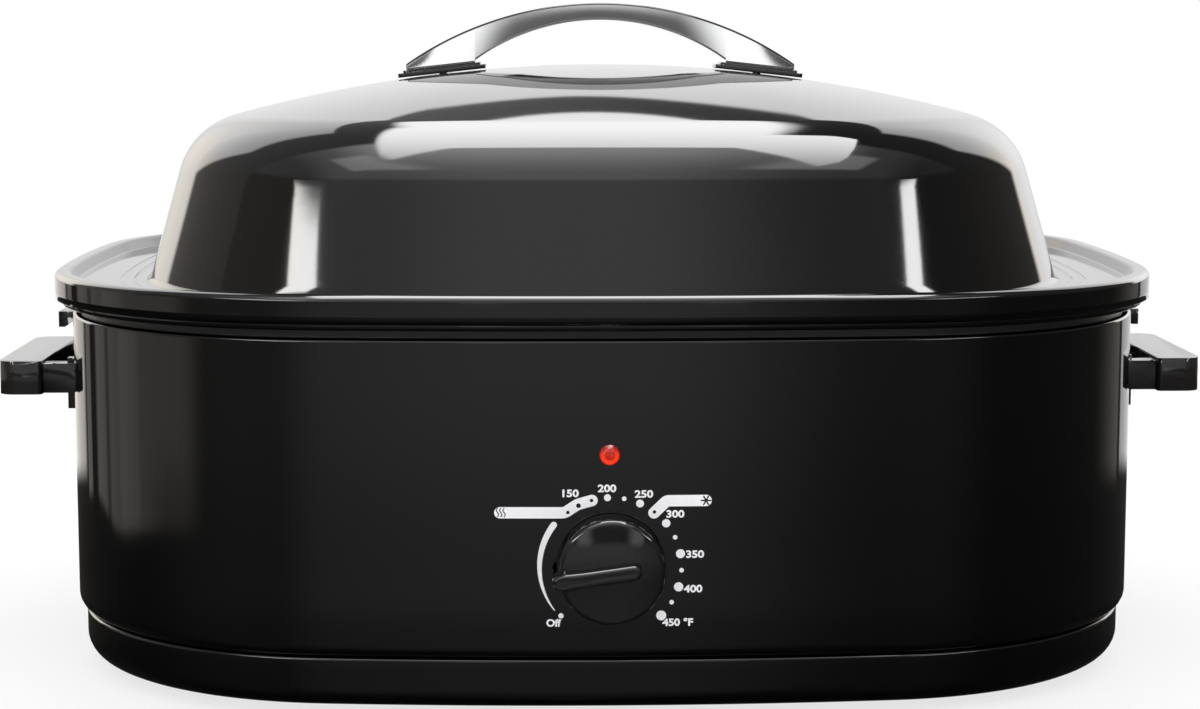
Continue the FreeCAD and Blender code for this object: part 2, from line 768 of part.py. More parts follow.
clamps = []
for level in ("lower", "upper"):
    low, high = f"band_{level}", f"band_{level} + band_width"
    strip = node(new_body(f"heater_band_{level}"))
    wall(strip, f"band_{level}_strip", "well", [
        (f"{wall_inset(low)} + {WELL_OUT} + band_fit", low),
        (f"{wall_inset(low)} + {WELL_OUT} + band_fit + band_thickness", low),
        (f"{wall_inset(high)} + {WELL_OUT} + band_fit + band_thickness", high),
        (f"{wall_inset(high)} + {WELL_OUT} + band_fit", high),
    ])
    clamp_top = f"({low} + (band_width + clamp_width) / 2)"
    clamp = doc.addObject("Part::Box", f"band_clamp_{level}")
    bind(clamp, "Length", "clamp_length")
    bind(clamp, "Width", "clamp_thickness")
    bind(clamp, "Height", "clamp_width")
    move(clamp, "-clamp_length / 2",
         f"well_half_depth + {wall_inset(clamp_top)} + {WELL_OUT} + 2 * band_fit + band_thickness",
         f"{clamp_top} - clamp_width")
    clamps.append(clamp)
node(group("band_clamps", clamps))

# ---------------------------------------------------------------- insulation blanket
# Glass-fibre blanket between the well and the housing, with windows for the front controls
# and the rear terminals.

blanket = node(new_body("insulation_blanket"))
plate(blanket, "blanket_block", "body", "-housing_sheet - blanket_gap", "blanket_bottom",
      "blanket_top - blanket_bottom")
doc.recompute()
BLANKET_IN = f"{WELL_OUT} + band_fit + band_thickness + blanket_gap"
hollow = [new_sketch(blanket, f"hollow_{edge}", "XY_Plane", f"blanket_{edge}")
          for edge in ("bottom", "top")]
for sketch, edge in zip(hollow, ("bottom", "top")):
    add_plan(sketch, "well", f"{wall_inset('blanket_' + edge)} + {BLANKET_IN}")
well_cut = blanket.newObject("PartDesign::SubtractiveLoft", "hollow")
well_cut.Profile = hollow[0]
well_cut.Sections = [hollow[1]]
well_cut.Ruled = True
for name, top, backwards in (("front_window", "lamp_window_top", False),
                             ("rear_window", "rear_window_top", True)):
    window = new_sketch(blanket, name + "_outline", "XZ_Plane")
    add_rectangle(window, "-blanket_window", "blanket_bottom - lead_radius", "blanket_window", top)
    pocket(blanket, name, window, "body_half_depth", reverse=not backwards)
for end, sign, mirrored in SIDES:
    recess = new_sketch(blanket, f"{end}_recess_outline", "YZ_Plane",
                        f"{sign}(body_half_length - handle_recess)")
    add_rectangle(recess, "-handle_screw_span - handle_recess",
                  "handle_screw_height - handle_recess",
                  "handle_screw_span + handle_recess", "handle_screw_height + handle_recess")
    pocket(blanket, f"{end}_recess", recess, "handle_recess", reverse=not mirrored)

# ---------------------------------------------------------------- thermostat
# Capillary-free bimetal thermostat on a flat bracket inside the front wall. Two screws pass the
# wall under the knob's skirt. The flatted shaft turns in it with the knob.

WALL_IN = front_at("-housing_sheet", "bracket_width / 2")
BRACKET_BACK = f"({WALL_IN} + seat_gap + bracket_sheet)"
bracket = node(new_body("thermostat_bracket"))
face = new_sketch(bracket, "bracket_face", "XZ_Plane", f"-({BRACKET_BACK})")
add_rectangle(face, "-bracket_width / 2", "dial_height - bracket_tall / 2",
              "bracket_width / 2", "dial_height + bracket_tall / 2", "bracket_sheet * 2")
pad(bracket, "bracket_plate", face, "bracket_sheet")
doc.recompute()
drill(bracket, "bracket_shaft_hole", "XZ_Plane", f"-({WALL_IN})", "0", "dial_height",
      "shaft_hole", "2 * bracket_sheet")
for side in ("-", ""):
    drill(bracket, "bracket_hole_left" if side else "bracket_hole_right", "XZ_Plane",
          f"-({WALL_IN})", f"{side}stat_screw_offset", "dial_height",
          "stat_screw_radius + rod_fit", "2 * bracket_sheet")

thermostat = node(new_body("thermostat_body"))
case = new_sketch(thermostat, "case_outline", "XZ_Plane", f"-({BRACKET_BACK})")
add_rectangle(case, "-stat_width / 2", "dial_height - stat_tall / 2",
              "stat_width / 2", "dial_height + stat_tall / 2", "bracket_sheet * 2")
pad(thermostat, "case", case, "stat_depth", reverse=True)
doc.recompute()
drill(thermostat, "shaft_bore", "XZ_Plane", f"-({BRACKET_BACK})", "0", "dial_height",
      "shaft_radius + shaft_fit", "shaft_in + shaft_fit")
for side in ("-", ""):
    drill(thermostat, "tapped_left" if side else "tapped_right", "XZ_Plane",
          f"-({BRACKET_BACK})", f"{side}stat_screw_offset", "dial_height",
          "stat_screw_radius + shaft_fit", "stat_depth / 2")

stat_screws = []
for side in ("-", ""):
    fixing = screw("stat_screw_left" if side else "stat_screw_right", "stat_screw_radius",
                   f"body_half_depth + {BRACKET_BACK} + stat_depth / 3", "stat_head_radius",
                   "stat_head_height")
    move(fixing, f"{side}stat_screw_offset", "-body_half_depth", "dial_height", Vector(1, 0, 0), -90)
    stat_screws.append(fixing)
node(group("thermostat_screws", stat_screws))

# ---------------------------------------------------------------- control knob
# Moulded knob with a thin skirt, a domed face and one straight grip. It and the shaft are made
# about their own Y axis and stand at the dial's centre, turned to the pointer's angle.

DIAL_AXIS = Vector(0, -1, 0)


def on_dial(piece):
    """Put a piece made about its own origin on the dial's axis, at the pointer's angle."""
    move(piece, "0", "-body_half_depth", "dial_height", DIAL_AXIS, value("pointer_angle"))
    bind(piece, "Placement.Rotation.Angle", "pointer_angle * 1 deg")


knob = node(new_body("control_knob"))
SKIRT = "(knob_gap + knob_skirt)"
FACE = f"({SKIRT} + knob_face)"
CAVITY = "(knob_gap + cavity_depth)"
revolve(knob, "knob_turning", [
    ("0", "-hub_gap"),
    ("0", f"-{FACE}"),
    ("knob_face_radius", f"-{FACE}", "knob_face_radius / 4"),
    ("knob_radius", f"-{SKIRT}", "knob_wall / 3"),
    ("knob_radius", "-knob_gap"),
    ("knob_radius - knob_wall", "-knob_gap"),
    ("knob_radius - knob_wall", f"-{CAVITY}"),
    ("hub_radius", f"-{CAVITY}"),
    ("hub_radius", "-hub_gap"),
])
doc.recompute()
ridge = new_sketch(knob, "grip_outline", "XZ_Plane", SKIRT)
add_rectangle(ridge, "-grip_length / 2", "-grip_width / 2", "grip_length / 2", "grip_width / 2",
              "grip_round")
pad(knob, "grip", ridge, "knob_face + grip_rise")
doc.recompute()
drill(knob, "knob_bore", "XZ_Plane", "0", "0", "0", "shaft_radius + shaft_fit",
      "shaft_reach + shaft_fit", reverse=True)
on_dial(knob)

shaft = node(new_body("thermostat_shaft"))
post(shaft, "shaft_round", "XZ_Plane", f"-(body_half_depth + {BRACKET_BACK} + shaft_in)", "0", "0",
     "shaft_radius", f"body_half_depth + {BRACKET_BACK} + shaft_in + shaft_reach")
doc.recompute()
flat = new_sketch(shaft, "flat_outline", "XZ_Plane", "shaft_reach")
add_rectangle(flat, "-shaft_radius", "shaft_flat", "shaft_radius", "shaft_radius + 1")
pocket(shaft, "shaft_flat_cut", flat, "flat_length")
on_dial(shaft)

spring = node(new_body("knob_spring"))
leaf = new_sketch(spring, "leaf_outline", "XZ_Plane", "shaft_reach - spring_length")
add_rectangle(leaf, "-spring_width / 2", "shaft_flat + shaft_fit",
              "spring_width / 2", "shaft_flat + shaft_fit + spring_thickness")
pad(spring, "leaf", leaf, "spring_length")
on_dial(spring)

# ---------------------------------------------------------------- indicator lamp
# Red jewel whose barrel passes the front wall and is held by a spring washer. The neon glow
# lamp slides into the barrel from behind.

lens = node(new_body("indicator_lens"))
revolve(lens, "jewel", [
    ("0", "0"),
    ("0", "-lens_out"),
    ("lens_radius", "-lens_out", "lens_out - lens_rim"),
    ("lens_radius", "0"),
    ("barrel_radius", "0"),
    ("barrel_radius", "barrel_in"),
    ("barrel_bore", "barrel_in"),
    ("barrel_bore", "0"),
])
move(lens, "0", "-body_half_depth", "lens_height")
neon = node(cylinder("neon_lamp", "neon_radius", "neon_length"))
move(neon, "0", "-body_half_depth + rod_fit", "lens_height", Vector(1, 0, 0), -90)
retainer = node(washer("lens_retainer", "clip_radius", "barrel_radius + shaft_fit", "clip_sheet"))
move(retainer, "0", f"{front_at('-housing_sheet', 'clip_radius')} + shaft_fit",
     "lens_height", Vector(1, 0, 0), -90)

# ---------------------------------------------------------------- rear fittings
# Round gland where the mains lead enters, terminal block, earth screw and thermal fuse.

BACK_IN = f"(-{front_at('-housing_sheet', 'cord_offset + gland_flange')})"
gland = node(new_body("cord_gland"))
post(gland, "gland_flange_disc", "XZ_Plane", "-(body_half_depth)", "cord_offset", "cord_height",
     "gland_flange", "gland_flange_depth", reverse=True)
post(gland, "gland_neck", "XZ_Plane", f"-({BACK_IN} - gland_in)", "cord_offset", "cord_height",
     "gland_radius", f"body_half_depth - {BACK_IN} + gland_in", reverse=True)
doc.recompute()
drill(gland, "gland_through", "XZ_Plane", "-(body_half_depth + gland_flange_depth)", "cord_offset",
      "cord_height", "gland_bore", "gland_in + gland_flange_depth + 10 * housing_sheet",
      reverse=True)

BLOCK_BACK = f"(-{front_at('-housing_sheet', 'block_length')} - seat_gap)"
block = node(new_body("terminal_block"))
block_face = new_sketch(block, "block_outline", "XZ_Plane", f"-({BLOCK_BACK})")
add_rectangle(block_face, "-block_length + gland_radius", "block_height - block_tall / 2",
              "gland_radius", "block_height + block_tall / 2", "bracket_sheet")
pad(block, "block", block_face, "block_depth")

earth = node(screw("earth_screw", "earth_radius", "2 * gland_flange_depth + housing_sheet",
                   "earth_head", "earth_head / 2"))
move(earth, "-cord_offset", "body_half_depth", "earth_height", Vector(1, 0, 0), 90)

BAND_TOP = "(band_lower + band_width)"
fuse = node(cylinder("thermal_fuse", "fuse_radius", "fuse_length"))
FUSE_HEIGHT = f"({BAND_TOP} + fuse_radius * 2)"
move(fuse, "-blanket_window + fuse_radius",
     f"-well_half_depth - {wall_inset(FUSE_HEIGHT + ' + fuse_radius')} - {WELL_OUT} - fuse_radius"
     " - band_fit", FUSE_HEIGHT, Vector(0, 1, 0), 90)

# ---------------------------------------------------------------- internal leads
# Two glass-sleeved leads drop from the terminal block, run forward on the heat shield and rise
# to the thermostat. A short link joins the thermostat to the lower heater.

LEAD_LOW = f"({SHIELD} + shield_sheet + lead_radius)"
leads = []
for name, offset in (("live", "-lead_offset"), ("load", "-lead_offset - lead_spacing")):
    lead = new_body("lead_" + name)
    route = new_sketch(lead, "route", "YZ_Plane", offset)
    back = f"{BLOCK_BACK} - block_depth / 2"
    ahead = f"{BRACKET_BACK} + stat_depth / 2"
    add_path(route, [
        (back, "block_height - block_tall / 2"),
        (back, LEAD_LOW, "lead_bend"),
        (ahead, LEAD_LOW, "lead_bend"),
        (ahead, "dial_height - stat_tall / 2"),
    ], closed=False)
    ring = new_sketch(lead, "sleeve", "XY_Plane", "block_height - block_tall / 2")
    add_circle(ring, offset, back, "lead_radius")
    run = lead.newObject("PartDesign::AdditivePipe", "run")
    run.Profile = ring
    run.Spine = (route, [])
    leads.append(lead)
BAND_FRONT = f"(-well_half_depth - {wall_inset(BAND_TOP)} - {WELL_OUT} - band_fit - band_thickness)"
link = cylinder("heater_link", "link_radius", f"{BAND_FRONT} - {BRACKET_BACK} - stat_depth")
move(link, "stat_width / 4", f"{BRACKET_BACK} + stat_depth", f"{BAND_TOP} - link_radius * 2",
     Vector(1, 0, 0), -90)
leads.append(link)
node(group("internal_leads", leads))

# ---------------------------------------------------------------- carry handles
# One black moulding on each end wall: a curved foot with two ribs, a grip bar that leaves a
# finger gap, and above it a thin riser with a hook that the lid's rim hangs on.


def end_band(body, name, bottom, height, inner, outer, half_length):
    """Block that follows the curved end wall, between two offsets from it."""
    sketch = new_sketch(body, name + "_outline", "XY_Plane", bottom)
    middle = "body_half_length - body_end_radius"
    low, high = f"(body_end_radius + {inner})", f"(body_end_radius + {outer})"
    radii = (value(low), value(high))
    half = value(half_length)
    tips = [math.asin(half / radius) for radius in radii]
    centre = Vector(value(middle), 0, 0)
    inside = add_arc(sketch, centre, radii[0], -tips[0], tips[0])
    outside = add_arc(sketch, centre, radii[1], -tips[1], tips[1])
    ends = [[centre + Vector(radius * math.cos(tip), sign * half, 0)
             for radius, tip in zip(radii, tips)] for sign in (-1, 1)]
    for vertex, pair in ((1, ends[0]), (2, ends[1])):
        line = sketch.addGeometry(Part.LineSegment(*pair), False)
        sketch.addConstraint(Sketcher.Constraint("Horizontal", line))
        sketch.addConstraint(Sketcher.Constraint("Coincident", line, 1, inside, vertex))
        sketch.addConstraint(Sketcher.Constraint("Coincident", line, 2, outside, vertex))
        sign = "-" if vertex == 1 else ""
        dimension(sketch, f"DistanceY_{line}", f"{sign}({half_length})", -1, 1, line, 1)
    pin_point(sketch, inside, 3, middle, "0")
    sketch.addConstraint(Sketcher.Constraint("Coincident", inside, 3, outside, 3))
    dimension(sketch, f"Radius_{inside}", low, inside)
    dimension(sketch, f"Radius_{outside}", high, outside)
    return pad(body, name, sketch, height)


GRIP_OUT = "(body_half_length + handle_reach)"
GRIP_IN = f"({GRIP_OUT} - grip_thick)"


def carry_handle(label):
    """Handle for the right end, in the oven's own frame."""
    body = new_body(label)
    end_band(body, "mount", "mount_bottom", "mount_top - mount_bottom", "wall_seat",
             "wall_seat + mount_thick", "mount_half_length")
    end_band(body, "riser", "mount_bottom", "hook_top - mount_bottom", "wall_seat",
             "wall_seat + riser_thick", "hook_half_length")
    end_band(body, "hook_shelf", "hook_top - hook_sheet", "hook_sheet", "wall_seat",
             "wall_seat + hook_out", "hook_half_length")
    end_band(body, "hook_lip", "hook_top - hook_lip", "hook_lip",
             "wall_seat + hook_out - hook_sheet", "wall_seat + hook_out", "hook_half_length")
    for name, sign in (("front", "-"), ("back", "")):
        centre = f"{sign}(handle_half_length - 2 * rib_width)"
        for part, reach, half, low, top in (
                ("rib", "rib_out", "rib_width / 2", "rib_bottom", "mount_top + housing_sheet"),
                ("arm", "handle_reach - grip_thick + housing_sheet", "rib_width", "grip_bottom",
                 "grip_bottom + grip_height - 2 * housing_sheet")):
            sketch = new_sketch(body, f"{part}_{name}_outline", "XY_Plane", low)
            add_rectangle(sketch, "body_half_length + wall_seat", f"{centre} - {half}",
                          f"body_half_length + {reach}", f"{centre} + {half}")
            pad(body, f"{part}_{name}", sketch, f"{top} - ({low})")
    bar = new_sketch(body, "grip_outline", "XY_Plane", "grip_bottom")
    add_path(bar, [
        (GRIP_IN, "-handle_half_length", "grip_corner / 4"),
        (GRIP_OUT, "-handle_half_length", "grip_corner"),
        (GRIP_OUT, "handle_half_length", "grip_corner"),
        (GRIP_IN, "handle_half_length", "grip_corner / 4"),
    ])
    pad(body, "grip_bar", bar, "grip_height")
    doc.recompute()
    for name, sign in (("front", "-"), ("back", "")):
        drill(body, "screw_bore_" + name, "YZ_Plane", "body_half_length - mount_thick / 2",
              f"{sign}handle_screw_span", "handle_screw_height",
              "handle_screw_radius + shaft_fit", "2 * mount_thick", reverse=True)
    return body


right_handle = node(carry_handle("carry_handle_right"))
left_handle = node(carry_handle("carry_handle_left"))
left_handle.Placement = Placement(Vector(), Rotation(Vector(0, 0, 1), 180))

handle_screws = []
handle_washers = []
for end, sign, mirrored in SIDES:
    turn = -90 if mirrored else 90
    for back in ("", "-"):
        tag = f"{end}_{'front' if back else 'back'}"
        seat = f"{sign}({end_at('-housing_sheet', 'handle_screw_span + washer_radius')} - washer_thick)"
        place = (seat, f"{back}handle_screw_span", "handle_screw_height")
        fixing = screw("handle_screw_" + tag, "handle_screw_radius",
                       "washer_thick + 2 * housing_sheet + mount_thick", "handle_head_radius",
                       "handle_head_height")
        move(fixing, *place, Vector(0, 1, 0), turn)
        handle_screws.append(fixing)
        ring = washer("handle_washer_" + tag, "washer_radius", "handle_screw_radius + shaft_fit",
                      "washer_thick")
        move(ring, *place, Vector(0, 1, 0), turn)
        handle_washers.append(ring)
node(group("handle_screws", handle_screws))
node(group("handle_washers", handle_washers))

# ---------------------------------------------------------------- cookwell pan
# Deep enamelled pan with drafted walls. Its wide flange lies on the well's flange, and its
# down-turned edge ends in a rolled bead.

PAN_TOP = f"({FLANGE} + pan_sheet)"
pan = node(new_body("cookwell_pan"))
plate(pan, "pan_flange", "body", "0", FLANGE, "pan_sheet")
BEAD_LOW = "(body_height + bead_clear)"
BEAD_TOP = f"({BEAD_LOW} + bead_height)"
wall(pan, "pan_rim", "body", [
    ("-pan_sheet", PAN_TOP),
    ("-pan_sheet", FLANGE),
    ("pan_rim_out - pan_sheet", FLANGE, "pan_sheet"),
    ("pan_rim_out - pan_sheet", BEAD_LOW),
    ("pan_rim_out + bead_out", BEAD_LOW, "bead_radius"),
    ("pan_rim_out + bead_out", BEAD_TOP, "bead_radius"),
    ("pan_rim_out", BEAD_TOP),
    ("pan_rim_out", PAN_TOP, "2 * pan_sheet"),
])
doc.recompute()
opening(pan, "pan_mouth", "well", f"{wall_inset(FLANGE)} - pan_sheet", f"{FLANGE} - pan_sheet",
        "pan_sheet * 3")
wall(pan, "pan_wall", "well", [
    (f"{wall_inset(PAN_TOP)} - pan_sheet", PAN_TOP),
    (f"{wall_inset('pan_bottom')} - pan_sheet", "pan_bottom + pan_sheet", "pan_radius - pan_sheet"),
    ("-bottom_inset", "pan_bottom + pan_sheet"),
    ("-bottom_inset", "pan_bottom"),
    (wall_inset("pan_bottom"), "pan_bottom", "pan_radius"),
    (wall_inset(PAN_TOP), PAN_TOP),
])
plate(pan, "pan_floor", "well", "-bottom_inset", "pan_bottom", "pan_sheet")

# ---------------------------------------------------------------- wire rack
# Chromed wire, spot-welded: a hoop, rungs laid across it, two runners under the rungs whose
# stub feet stand on the pan's floor, and a bail at each end to lift it by. Wires that cross
# lie a named fit apart.

RACK = "(pan_bottom + pan_sheet + rack_rise)"
HOOP_GROW = f"({wall_inset(RACK)} - rack_inset)"
hoop = node(new_body("rack_hoop"))
hoop_path = new_sketch(hoop, "hoop_path", "XY_Plane", RACK)
add_plan(hoop_path, "well", HOOP_GROW)
wire = new_sketch(hoop, "hoop_wire", "XZ_Plane")
add_circle(wire, f"well_half_length + {HOOP_GROW}", RACK, "wire_radius")
hoop_pipe = hoop.newObject("PartDesign::AdditivePipe", "hoop")
hoop_pipe.Profile = wire
hoop_pipe.Spine = (hoop_path, [])


def hoop_end(grow, width):
    """X of the hoop's right end, grown by an offset, at a distance from the middle."""
    return f"(end_centre + sqrt((well_end_radius + {HOOP_GROW} + ({grow}))^2 - ({width})^2))"


RUNNER_END = hoop_end("-wire_radius - wire_fit", "runner_offset + rung_radius")
legs = []
for name, sign in (("front", "-"), ("back", "")):
    runner = cylinder(f"runner_{name}", "rung_radius", f"2 * {RUNNER_END}")
    move(runner, f"-{RUNNER_END}", f"{sign}runner_offset", f"{RACK} + wire_radius - rung_radius",
         Vector(0, 1, 0), 90)
    legs.append(runner)
    for end, side in (("right", ""), ("left", "-")):
        stub = cylinder(f"stub_{name}_{end}", "stub_radius",
                        "rack_rise + wire_radius - 2 * rung_radius - wire_fit")
        move(stub, f"{side}stub_offset", f"{sign}runner_offset", "pan_bottom + pan_sheet")
        legs.append(stub)
node(group("rack_legs", legs))

rungs = []
for i in range(int(value("rung_count"))):
    place = f"(rung_span * ({i} / (rung_count - 1) - 0.5))"
    front, corner = f"(well_front_radius + {HOOP_GROW})", f"(well_corner_radius + {HOOP_GROW})"
    reach = f"(front_centre + sqrt({front}^2 - {place}^2))"
    if abs(value(place)) > value(f"corner_x * {front} / front_reach"):
        reach = f"(corner_y + sqrt({corner}^2 - (abs({place}) - corner_x)^2))"
    rung = cylinder(f"rung_{i}", "rung_radius", f"2 * {reach}")
    move(rung, place, f"-{reach}", f"{RACK} + wire_radius + wire_fit + rung_radius",
         Vector(1, 0, 0), -90)
    rungs.append(rung)
node(group("rack_rungs", rungs))

bails = []
BAIL_FOOT = f"{RACK} + wire_radius + wire_fit"
for name, sign in (("right", ""), ("left", "-")):
    bail = new_body(f"bail_{name}")
    stand = f"{sign}{hoop_end('0', 'bail_half_width')}"
    loop = new_sketch(bail, "bail_path", "YZ_Plane", stand)
    add_path(loop, [
        ("-bail_half_width", BAIL_FOOT),
        ("-bail_half_width", f"{RACK} + bail_rise", "bail_bend"),
        ("bail_half_width", f"{RACK} + bail_rise", "bail_bend"),
        ("bail_half_width", BAIL_FOOT),
    ], closed=False)
    end = new_sketch(bail, "bail_wire", "XY_Plane", BAIL_FOOT)
    add_circle(end, stand, "-bail_half_width", "bail_radius")
    run = bail.newObject("PartDesign::AdditivePipe", "bail")
    run.Profile = end
    run.Spine = (loop, [])
    bails.append(bail)
node(group("rack_bails", bails))

# ---------------------------------------------------------------- lid shell
# One deep drawing: a turned-down skirt, a raised crest round the rim, a flat land that lies on
# the pan, and the dome. The dome's sections are shares of the well outline.

LAND = PAN_TOP
LAND_TOP = f"({LAND} + lid_sheet)"
CREST = f"({LAND_TOP} + rim_rise)"
DOME_TOP = f"({LAND_TOP} + dome_rise)"
rim = new_body("lid_rim_pressing")
plate(rim, "land", "body", "-plate_inset", LAND, "lid_sheet")
wall(rim, "lid_rim", "body", [
    ("-plate_inset", LAND_TOP),
    ("-plate_inset", LAND),
    ("lid_out - crest_width - crest_foot + lid_sheet / 2", LAND, "lid_sheet * 2"),
    ("lid_out - crest_width + lid_sheet / 2", f"{CREST} - lid_sheet", "lid_sheet * 1.5"),
    ("lid_out - lid_sheet", f"{CREST} - lid_sheet", "crest_radius - lid_sheet"),
    ("lid_out - lid_sheet", f"{CREST} - skirt_drop"),
    ("lid_out", f"{CREST} - skirt_drop"),
    ("lid_out", CREST, "crest_radius"),
    ("lid_out - crest_width", CREST, "crest_radius"),
    ("lid_out - crest_width - crest_foot", LAND_TOP, "lid_sheet"),
])


def crown_drop(x):
    """Fall of the crown below the dome's top at a distance from the middle."""
    return f"(crown_radius - sqrt(crown_radius^2 - ({x})^2))"


def dome_levels():
    """(half-length, height) of the dome's sections: down its drafted line, round its shoulder
    and in over its crown."""
    levels = [("well_half_length", LAND)]
    draft = "(dome_draft * 1 deg)"
    line_end = (f"(shoulder_x + dome_shoulder * cos{draft})", f"(shoulder_z + dome_shoulder * sin{draft})")
    for share in (0.35, 0.7):
        levels.append((f"well_half_length + {share} * ({line_end[0]} - well_half_length)",
                       f"{LAND_TOP} + {share} * ({line_end[1]} - {LAND_TOP})"))
    for share in (0, 0.2, 0.4, 0.6, 0.8, 1):
        turn = f"({draft} + {share} * (90 deg - crown_turn - {draft}))"
        levels.append((f"shoulder_x + dome_shoulder * cos{turn}",
                       f"shoulder_z + dome_shoulder * sin{turn}"))
    for share in (0.85, 0.65, 0.45, 0.25):
        reach = f"({share} * crown_radius * sin(crown_turn))"
        levels.append((reach, f"{DOME_TOP} - {crown_drop(reach)}"))
    return levels


def dome(name, grow, sink):
    """Loft through the dome's sections, each a share of the well outline."""
    sections = []
    for i, (reach, height) in enumerate(dome_levels()):
        section = doc.addObject("Sketcher::SketchObject", f"{name}_section_{i}")
        bind(section, "Placement.Base.z", height if i == 0 else f"{height} - ({sink})")
        add_plan(section, "well", grow, f"(({reach}) / well_half_length)")
        sections.append(section)
    loft = doc.addObject("Part::Loft", name)
    loft.Sections = sections
    loft.Solid = True
    loft.MaxDegree = 2
    return loft


def boolean(kind, label, first, second):
    """Boolean of two pieces under a label."""
    result = doc.addObject(kind, label)
    result.Label = label
    result.Base = first
    result.Tool = second
    return result


pressing = boolean("Part::Fuse", "lid_pressing", rim, dome("dome_outside", "0", "0"))
hollow_lid = boolean("Part::Cut", "lid_hollow", pressing, dome("dome_inside", "-lid_sheet", "lid_sheet"))

# ---------------------------------------------------------------- lid handle
# Bright arch on two thin stepped pads. Pads, feet, screws and washers all stand square to the
# crown where they sit, so each side shares one seat point and one angle.

SEAT = "(seat_inner + pad_length / 2)"
SEAT_ANGLE = f"asin({SEAT} / crown_radius)"
SEAT_HEIGHT = f"({DOME_TOP} - {crown_drop(SEAT)} + pad_seat)"
PAD_RISE = "(pad_thick + pad_upper)"


def on_seat(piece, sign, along):
    """Stand a piece made along its own Z axis at a distance from the crown's seat point."""
    turn = -1 if sign else 1
    move(piece, f"{sign}({SEAT} + ({along}) * sin({SEAT_ANGLE}))", "0",
         f"{SEAT_HEIGHT} + ({along}) * cos({SEAT_ANGLE})", Vector(0, turn, 0), value(SEAT_ANGLE))
    bind(piece, "Placement.Rotation.Angle", SEAT_ANGLE)


def seat_drill(body, name, sign, radius, start, depth):
    """Hole square to the crown, cut upwards from a distance along the seat's normal."""
    sketch = new_sketch(body, name + "_circle", "XY_Plane")
    add_circle(sketch, "0", "0", radius)
    turn = -1 if sign else 1
    sketch.AttachmentOffset = Placement(Vector(), Rotation(Vector(0, turn, 0), value(SEAT_ANGLE)))
    bind(sketch, "AttachmentOffset.Rotation.Angle", SEAT_ANGLE)
    bind(sketch, "AttachmentOffset.Base.x", f"{sign}({SEAT} + ({start}) * sin({SEAT_ANGLE}))")
    bind(sketch, "AttachmentOffset.Base.z", f"{SEAT_HEIGHT} + ({start}) * cos({SEAT_ANGLE})")
    return pocket(body, name, sketch, depth, reverse=True)


punches = []
for end, sign, mirrored in SIDES:
    punch = cylinder(f"handle_punch_{end}", "lid_screw_radius + lid_screw_fit", "6 * lid_sheet")
    on_seat(punch, sign, "-4 * lid_sheet")
    punches.append(punch)
node(boolean("Part::Cut", "lid_shell", hollow_lid, group("handle_punches", punches)))

for end, sign, mirrored in SIDES:
    rest = node(new_body("lid_handle_pad_" + end))
    for tier, inset, bottom, rise in (("lower", "0", "0", "pad_thick"),
                                      ("upper", "pad_step", "pad_thick", "pad_upper")):
        outline = new_sketch(rest, f"{tier}_outline", "XY_Plane", bottom)
        add_rectangle(outline, f"-pad_length / 2 + {inset}", f"-pad_depth / 2 + {inset}",
                      f"pad_length / 2 - {inset}", f"pad_depth / 2 - {inset}", "pad_corner")
        pad(rest, f"{tier}_tier", outline, rise)
    doc.recompute()
    drill(rest, "pad_hole", "XY_Plane", "0", "0", "0", "lid_screw_radius + lid_screw_fit",
          PAD_RISE, reverse=True)
    on_seat(rest, sign, "0")

arch = node(new_body("lid_handle"))
ARCH_SIDE = new_sketch(arch, "arch_side", "XZ_Plane")


def seat_point(along, up):
    """Point on the right seat: a distance along the slope outwards and a distance square to it."""
    return (f"{SEAT} + ({along}) * cos({SEAT_ANGLE}) + ({up}) * sin({SEAT_ANGLE})",
            f"{SEAT_HEIGHT} - ({along}) * sin({SEAT_ANGLE}) + ({up}) * cos({SEAT_ANGLE})")


